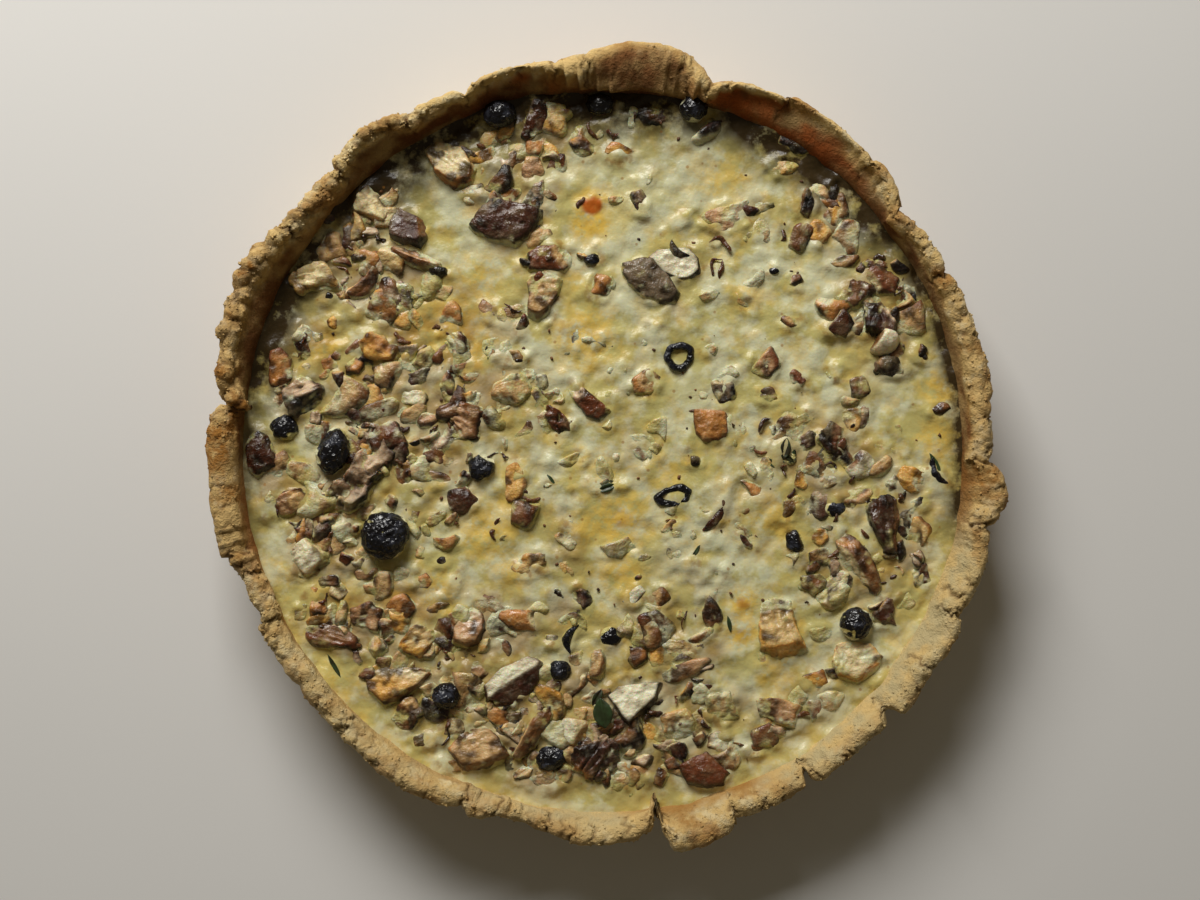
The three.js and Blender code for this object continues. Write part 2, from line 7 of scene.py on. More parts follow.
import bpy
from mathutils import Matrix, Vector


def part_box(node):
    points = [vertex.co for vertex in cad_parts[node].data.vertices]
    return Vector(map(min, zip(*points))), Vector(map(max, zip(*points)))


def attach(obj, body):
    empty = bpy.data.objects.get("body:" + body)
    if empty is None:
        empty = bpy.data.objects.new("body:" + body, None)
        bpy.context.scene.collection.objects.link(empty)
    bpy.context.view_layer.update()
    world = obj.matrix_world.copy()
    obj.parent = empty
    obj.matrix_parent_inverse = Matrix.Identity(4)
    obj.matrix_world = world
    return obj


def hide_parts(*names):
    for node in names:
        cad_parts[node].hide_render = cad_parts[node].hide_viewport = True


bl_info = {
    "name": "Mushroom Tart",
    "version": (1, 0, 0),
    "blender": (4, 5, 0),
    "location": "View3D > Sidebar > Tart",
    "description": "Makes a mushroom tart round its packed solids",
    "category": "Object",
}

import collections
import functools
import itertools
import math

import bpy
import numpy as np
from bpy.props import FloatProperty, FloatVectorProperty, IntProperty, PointerProperty
from mathutils import Vector

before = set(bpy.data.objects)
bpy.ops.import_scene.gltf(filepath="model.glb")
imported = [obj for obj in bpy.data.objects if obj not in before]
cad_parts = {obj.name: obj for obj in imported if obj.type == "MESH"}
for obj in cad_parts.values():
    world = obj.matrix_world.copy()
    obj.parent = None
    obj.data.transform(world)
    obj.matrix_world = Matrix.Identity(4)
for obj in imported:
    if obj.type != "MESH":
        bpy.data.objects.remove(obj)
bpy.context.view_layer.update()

MM = 0.001
LARGE_OLIVE = (-79.5, -31.8)  # where olive_01 lies, from the middle of the rim
SEED = 11  # every noise and every random choice adds a number of its own to it

# The shell and what fills it
RIM_RADIUS = 139.6
RIM_HEIGHT = 38
BASE_RADIUS = 131
BASE_THICKNESS = 4.5
FILL_LEVEL = 27
BARE_WALL = 5.5
INNER_RADIUS = 129.3
INNER_DRIFT = 2.4
INNER_DRIFT_ANGLE = -130
LIP_DEPTH = 5
NOTCH_WIDTH = 1.6

# The pieces of dough round the rim: the angle where each starts, how far its edge reaches past RIM_RADIUS
# at its start, middle and end, its rise past RIM_HEIGHT, the width of its lip, and the gap at its start.
DOUGH = np.array([
    [-185.7, 2.1, 2.9, 4, 1.5, 10.5, 3], [-163.8, 2, -1.4, -0.8, -3, 8, 0.5],
    [-152.5, 1.1, 0, 1, -2, 8, 0.6], [-133, 0.9, 3.4, 0.2, -2, 9, 0],
    [-112, 0.5, 1.7, -1, -1.5, 12, 0.8], [-106.8, -1, -1.2, 0.5, -4, 6, 0],
    [-99, 0.3, 3.4, -2.4, -3, 8, 0], [-82, 6.5, 7.6, 4, -1.5, 11, 9],
    [-71, 1.4, 2.2, 0.9, -2, 8, 0.5], [-58.6, 3.5, 1.2, 2.8, -1.5, 8, 4],
    [-43.5, 3.1, 2.5, 0.5, -1, 8, 5], [-34.5, 0.5, 3, 0.2, -0.5, 7, 0],
    [-26, -0.2, 2, 0.5, 0, 8, 0], [-12, 0.4, 4.2, -2.1, 1, 11, 0.8],
    [-2.5, -3, -2.2, -2.9, 1, 8, 0.5], [27, -2.8, -3.8, -6.4, 1.5, 6, 1.2],
    [39, -5, -0.4, 0.3, 2, 6.5, 0], [47, -0.5, 0.6, 1.2, 1.5, 3.5, 0.5],
    [62.5, -0.6, -1.4, -4.6, 1.5, 4, 0.6], [74, -3.4, -1, 2.4, 2.5, 11, 1],
    [77.5, 2.8, 5.2, 0.4, 4, 18, 0.4], [93, 0.5, -0.3, -2, 3, 9, 0],
    [98, -1.6, -0.9, -2.9, 2, 3.5, 0.5], [112, -3.2, -2.2, -3.6, 2.5, 5.5, 1.5],
    [121.5, -2.3, 1.6, -1.1, 2, 4.5, 0.5], [134.5, -1.2, -1, 0.5, 1, 6.5, 0.4],
    [146, 0.4, 4.2, -4, 2, 7, 0.3],
])
BLEND = (-3.5, -1.5, 1.5, 3.5)

# The crust's mesh: its columns, and how many rows lie between two points of its section
CRUST_COLUMNS = 1240
SECTION_ROWS = (3, 2, 4, 7, 7, 8, 6, 6, 6, 6, 8, 8, 3, 2, 2)
CRUMBLY = (0, 0, 0, 0.06, 0.14, 0.5, 0.95, 1, 1, 1, 0.85, 0.4, 0.12, 0, 0, 0)
CRUST_ANGLES = np.arange(CRUST_COLUMNS) * 360 / CRUST_COLUMNS - 180
LIP_PLACES = (5.4, 11.2)  # where the lip starts and ends on the section, in points

# Sectors of the shell, each from, to and strength: where its inside is pale and floury, where its smooth
# inside wall is painted dark as toasted crust and as painted shade, where that wall has a painted orange
# glow of bounced light, where the lip slopes in and the wall's painted shade reaches further up it, where
# the rim is more toasted or less, and where it is crumbly
FLOURY = ((-64, -14, 1), (-112, -86, 0.8), (-150, -118, 0.55))
WALL_TOAST_AND_SHADE = ((44, 76, 1), (76, 97, 0.95), (97, 134, 1), (144, 178, 0.9), (-2, 44, 0.95),
             (-16, 0, 0.5), (-188, -176, 0.9), (-176, -160, 0.6))
PAINTED_GLOW = ((52, 76, 1), (97, 113, 0.9), (-180, -150, 0.35), (40, 52, 0.5))
SLOPED = ((77, 93.5, 1), (60, 76, 0.3))
TOASTED = ((152, 196, 0.5), (-12, 6, 0.35), (112, 150, -0.6), (-166, -128, -0.35), (-100, -16, -0.12))
FRAYED = ((-163, -128, 0.6), (-128, -70, 0.4), (-70, -18, 0.45), (-18, 40, 0.6), (116, 178, 1.2))

# Where the custard beside the wall is darkened, as painted shadow of the wall and as dark juices: from, to,
# strength and how far in
SHADED = ((72, 142, 1.5, 17), (34, 72, 1.6, 12), (-14, 34, 1.5, 6), (140, 174, 1.7, 12), (174, 196, 0.8, 7))

# Browned spots of custard: x, y, radius, how golden and how brown
BROWNED = np.array([
    [-54, 45, 13, 0.9, 0.1], [-45, 61, 9, 0.7, 0.05], [-8.5, 40, 10, 0.9, 0.25], [4, -26, 10, 0.9, 0.45],
    [-9, -29, 8, 0.7, 0.3], [-43, -31, 11, 0.85, 0.1], [-34, -44, 8, 0.7, 0.1], [49.5, -57, 6, 1, 0.55],
    [48, -67.5, 6, 1, 0.55], [-5.7, 86.5, 6.5, 1, 1.35], [-6, 80.5, 6.5, 1.3, 0.5], [5, -46, 8, 0.8, 0.15],
    [60, -26, 9, 0.7, 0.1], [-73.5, -54.5, 6, 1, 0.5], [-103, 37, 8, 0.8, 0.3], [49, 54, 6, 0.6, 0.3],
    [19, -10, 9, 0.5, 0], [-1, -9, 8, 0.5, 0], [-60, -54, 9, 0.7, 0.2], [120, 21, 7, 0.9, 0],
    [119, 2, 8, 0.8, 0], [-50, 36, 8, 0.6, 0.1], [-36, -22, 7, 0.6, 0.1], [61, 8, 5, 0.4, 0.1],
    [-70, 44, 7, 0.5, 0.1], [46, 97, 9, 0.4, 0.2], [38, 93, 4, 0.7, 0.3], [-88, 12, 6, 0.6, 0.3],
    [7, -79, 7, 0.4, 0.1], [62, -84, 8, 0.5, 0.05], [-12, 60, 5, 0.5, 0.2], [-97, -55, 8, 0.6, 0.2],
])

# Paler patches of custard: x, y, radius
PALE_PATCHES = np.array([
    [12, 92, 16], [40, 88, 10], [78, 60, 12], [22, -42, 9], [-24, 96, 9], [66, -2, 10], [-62, 16, 7],
    [-78, -52, 6], [30, 20, 9], [-60, -70, 8], [100, 25, 10], [-4, 100, 10], [50, -88, 9], [86, 12, 8],
    [-30, -62, 9], [-44, -99, 8], [-62, -88, 9], [-76, -74, 7], [-12, -74, 8], [-100, 60, 8], [4, 74, 12],
])

# What each topping looks like: the angle of its length, its look, and its other cut faces as (angle, tilt,
# distance, tone). A look is a character and the tones of the rounded body, the cut sides and the cut top,
# with a dash for none. A tilt of 90 faces up; a distance of 1 is at the topping's edge.
TOPPINGS = {
    # cap_dark_01's grey face to the upper left stands in for painted sheen on its dark skin
    "cap_dark_01": (-12, "smooth plum umber -", (125, 68, 0.8, "grey"), (-30, 50, 0.85, "plum")),
    "cap_dark_02": (80, "clean plum umber plum", (20, 40, 0.6, "brown"), (140, 66, 0.8, "grey")),
    "cap_dark_03": (75, "gilled umber umber plum", (55, 50, 0.6, "lilac"), (200, 30, 0.8, "chestnut")),
    "cap_dark_04": (-80, "smooth chestnut - -", (-60, 15, 0.8, "umber")),
    "cap_dark_05": (40, "gilled umber plum -", (100, 66, 0.7, "lilac"), (-50, 30, 0.7, "charcoal")),
    "cap_dark_06": (65, "fibrous chestnut umber -", (160, 35, 0.5, "grey")),
    "cap_dark_07": (30, "fibrous umber umber brown", (60, 70, 0.8, "tan")),
    "cap_dark_08": (100, "wrinkled plum umber -", (95, 30, 0.8, "charcoal"), (0, 35, 0.7, "brown")),
    "cap_red_01": (-10, "clean russet umber -", (60, 60, 0.85, "brown")),
    "cap_red_02": (30, "clean chestnut chestnut ivory", (-50, 70, 0.45, "chestnut")),
    "cap_red_03": (-10, "wrinkled umber chestnut -", (0, 48, 0.5, "russet")),
    "cap_red_04": (-35, "smooth russet chestnut -", (215, 40, 0.72, "cream"), (60, 50, 0.8, "brown")),
    "cap_red_05": (-20, "wrinkled russet chestnut -", (-5, 58, 0.5, "pink_tan")),
    "cap_red_06": (8, "smooth russet chestnut -", (190, 34, 0.62, "umber"), (20, 60, 0.7, "tan")),
    "cap_red_07": (5, "clean orange russet -", (90, 40, 0.8, "lilac")),
    "cap_grey_01": (-35, "smooth grey umber -", (-60, 35, 0.92, "umber")),
    "dice_gold_01": (-30, "lobed golden straw -", (172, 15, 0.8, "orange"), (60, 70, 0.85, "orange")),
    "dice_gold_02": (35, "fibrous golden brown straw"),
    "dice_gold_03": (
        98, "fibrous golden golden straw", (-80, 40, 0.75, "golden"), (190, 50, 0.8, "golden")),
    "dice_gold_04": (80, "fibrous golden brown straw", (40, 50, 0.8, "brown")),
    "dice_gold_05": (88, "smooth orange orange golden"),
    "dice_tan_01": (-40, "fibrous cream orange cream", (230, 30, 0.7, "orange"), (20, 25, 0.75, "straw")),
    "dice_tan_02": (78, "smooth tan brown tan", (140, 40, 0.75, "orange"), (250, 30, 0.8, "brown")),
    "dice_tan_03": (10, "coated tan brown tan", (120, 40, 0.8, "straw")),
    "dice_tan_04": (30, "fibrous brown brown pink_tan", (250, 20, 0.75, "russet")),
    "dice_tan_05": (80, "coated tan brown tan", (100, 40, 0.8, "grey")),
    "dice_tan_06": (-15, "smooth tan brown tan", (150, 40, 0.8, "orange")),
    "dice_cream_01": (-55, "fibrous cream tan cream", (140, 10, 0.72, "orange")),
    "dice_cream_02": (5, "lobed straw golden cream"),
    "dice_cream_03": (20, "fibrous ivory cream ivory", (225, 25, 0.82, "orange")),
    "dice_cream_04": (10, "coated cream golden cream", (-40, 35, 0.8, "orange")),
    "dice_cream_05": (25, "coated cream straw ivory", (225, 25, 0.8, "golden")),
    "dice_red_01": (-6, "smooth golden brown golden", (95, 72, 0.5, "cream"), (-100, 50, 0.85, "orange")),
    "dice_red_02": (-20, "smooth tan brown pink_tan", (-15, 35, 0.7, "orange"), (250, 20, 0.7, "brown")),
    "dice_red_03": (95, "smooth russet chestnut orange"),
    "dice_red_04": (-15, "fibrous russet chestnut brown"),
    "dice_red_05": (-4, "smooth orange brown -", (10, 50, 0.6, "cream")),
    "wedge_gold_01": (72, "smooth tan brown pink_tan", (75, 50, 0.7, "ivory"), (180, 30, 0.6, "brown")),
    "wedge_gold_02": (-25, "fibrous golden orange golden", (0, 20, 0.7, "brown")),
    "wedge_red_01": (-40, "smooth russet umber -", (128, 66, 0.6, "lilac")),
    "wedge_red_02": (22, "gilled pink_tan brown tan", (200, 40, 0.8, "russet")),
    "lump_gold_01": (-58, "smooth brown - -", (215, 40, 0.75, "cream"), (100, 60, 0.8, "orange")),
    "lump_gold_02": (0, "coated tan golden brown"),
    "slice_cream_01": (-15, "clean ivory umber ivory", (20, 40, 0.85, "umber")),
    "slice_cream_02": (10, "coated pink_tan brown lilac", (100, 30, 0.72, "brown")),
    "slice_cream_03": (25, "clean ivory umber ivory", (100, 40, 0.8, "lilac")),
    "gill_01": (48, "torn plum umber lilac", (225, 40, 0.75, "cream"), (60, 50, 0.8, "plum")),
    "gill_02": (-30, "gilled brown chestnut pink_tan", (150, 40, 0.8, "grey")),
    "gill_03": (55, "torn plum umber plum", (235, 20, 0.75, "orange"), (90, 50, 0.8, "lilac")),
    "stalk_01": (-20, "fibrous brown - -", (-20, 5, 0.85, "russet"), (70, 50, 0.6, "pink_tan")),
    "stalk_02": (52, "fibrous brown - -", (232, 5, 0.9, "umber"), (150, 30, 0.75, "tan")),
    "olive_01": (30, "shrunken charcoal - -"),
    "olive_02": (82, "shrunken charcoal - -", (140, 30, 0.8, "charcoal")),
    "olive_03": (0, "smooth charcoal - -"),
    "olive_04": (0, "shrunken charcoal - -"),
    "olive_05": (60, "shrunken charcoal - -", (60, 50, 0.8, "charcoal")),
}

# The corners of the cut outlines, in millimetres from the rim's middle, of the toppings that have one
OUTLINES = {
    "gill_01": [
        (-76, 5), (-75.5, -3), (-80, -7), (-84, -13), (-86, -20), (-92, -25), (-97, -24), (-103, -19),
        (-99, -14), (-93, -11), (-90, -7), (-87, 0), (-82, 5.5),
    ],
    "cap_grey_01": [
        (5.3, 65.8), (11.9, 67.5), (16.7, 67), (22.7, 61), (26.5, 55), (25, 51.5), (19, 50.8), (13, 52.5),
        (8, 57.5), (5.5, 62),
    ],
    "dice_gold_03": [
        (55.7, -56), (60, -54.5), (65.9, -55.4), (69.5, -67.3), (72.4, -73.4), (68, -76.5), (62.3, -77),
        (55.1, -73.4), (54.5, -65),
    ],
    "dice_cream_04": [
        (82, -72), (88, -70), (95, -71), (99.5, -76), (97, -83), (90, -85.5), (83, -83), (80.5, -78),
    ],
    "dice_red_01": [
        (-88, -81.5), (-80, -79.5), (-70, -79.5), (-62, -81.5), (-66, -86.5), (-74, -91.5), (-80, -94),
        (-86, -89),
    ],
    "cap_dark_01": [
        (-49.5, 79), (-45, 86), (-42, 89), (-34, 87.5), (-23.5, 85), (-24, 80.5), (-28, 75), (-33, 71.5),
        (-40, 73), (-46, 76),
    ],
    "cap_dark_02": [
        (-75.3, 85.4), (-69, 82.5), (-64.2, 80.2), (-64.5, 75.1), (-66.7, 70.3), (-72.4, 71.7),
        (-77.8, 75.1), (-77.5, 80.8),
    ],
    "cap_dark_03": [
        (91.5, 51), (97, 51.5), (103.5, 50.5), (104.5, 45), (104, 40), (98, 39.5), (92.5, 40.5), (91.5, 46),
    ],
    "cap_red_01": [
        (25.5, -115), (31, -112), (36, -109.5), (44.5, -117.5), (42, -122), (36, -123.5), (29, -121),
    ],
    "cap_red_02": [
        (-44.5, -86.5), (-38, -80), (-28, -75.5), (-23.5, -77.5), (-24.5, -84), (-30, -91), (-37, -93),
        (-43.5, -91.5),
    ],
    "cap_red_05": [
        (-22.5, 15.5), (-18, 13.5), (-13, 9.5), (-7, 5.5), (-12, 4.8), (-17, 4), (-21, 6.5), (-23, 11),
    ],
    "cap_red_06": [
        (-33, 66), (-31, 63.2), (-24, 62.3), (-15, 62), (-12.5, 65), (-12, 70), (-17, 72.3), (-25, 71.7),
        (-29.5, 69),
    ],
    "cap_red_07": [(31.3, 13), (37, 14.5), (43.3, 12.5), (43.7, 3.5), (40.5, 1), (34.5, 0.8), (32, 4)],
    "slice_cream_01": [
        (15, 67), (20, 61), (26, 58.5), (31, 59.5), (34.5, 62), (34, 67), (30, 70.7), (24, 71.7), (18, 71),
    ],
    "slice_cream_03": [
        (0, -90), (4, -86.5), (12, -85.3), (19.5, -85), (18.5, -90.5), (8.3, -102), (5, -98.5),
    ],
    "wedge_red_01": [
        (-15.3, 22.8), (-12, 24), (-5, 18.5), (2.3, 12.3), (-2.7, 8.3), (-7.3, 9.8), (-11.5, 15),
    ],
    "wedge_gold_01": [
        (-56, -67), (-51, -60.5), (-47.5, -55.5), (-44, -61.5), (-43, -66.5), (-46, -72), (-50.5, -73.5),
        (-57, -71),
    ],
    "dice_tan_02": [
        (-29.5, 60.5), (-22, 62.3), (-15.7, 60.3), (-17, 54), (-21, 48), (-26, 45), (-28.7, 47),
        (-27.5, 53),
    ],
    "dice_tan_06": [
        (-58, -109), (-51, -102), (-44, -101), (-38, -105.5), (-33.5, -112), (-42, -116.3), (-52, -117),
    ],
    "dice_tan_01": [(-65.5, 106), (-61, 109.5), (-52, 107), (-46.5, 100), (-48, 94), (-55, 92), (-62, 97)],
}

# How a character shapes a surface: depth in millimetres of its wrinkles and of its fibres or gills, how
# lumpy and how crooked it is, the depth of its creases, how sharp its cut edges are, and how much custard
# lies on it
Character = collections.namedtuple("Character", "wrinkles fibres lumps crook creases sharpness coating")
CHARACTERS = {
    "smooth": Character(0.12, 0.08, 0.4, 0.35, 0.2, 26, 0.12),
    "wrinkled": Character(0.6, 0.15, 1.0, 0.9, 0.7, 14, 0.06),
    "shrunken": Character(0.3, 0, 0.15, 0.2, 0.1, 12, 0),
    "fibrous": Character(0.15, 0.3, 0.45, 0.45, 0.3, 24, 0.2),
    "gilled": Character(0.15, 0.6, 0.6, 0.65, 0.5, 20, 0.12),
    "lobed": Character(0.4, 0.2, 2.2, 1.1, 1.0, 9, 0.25),
    "coated": Character(0.1, 0.15, 0.7, 0.5, 0.35, 14, 0.6),
    "clean": Character(0.06, 0.06, 0.25, 0.4, 0.1, 26, -0.42),
    "torn": Character(0.8, 0.5, 1.9, 1.0, 1.4, 12, 0.06),
}

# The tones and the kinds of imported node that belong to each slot
SLOTS = {
    "mushroom_dark": "umber plum chestnut cap_dark", "mushroom_grey": "grey cap_grey",
    "mushroom_red": "russet cap_red", "mushroom_gold": "golden straw dice_gold wedge_gold lump_gold",
    "mushroom_brown": "orange brown dice_red wedge_red", "mushroom_tan": "tan pink_tan dice_tan",
    "mushroom_cream": "cream ivory dice_cream slice_cream", "mushroom_gill": "lilac gill",
    "mushroom_stalk": "stalk", "olive": "charcoal olive ring",
}
SLOT_OF = {word: slot for slot, words in SLOTS.items() for word in words.split()}

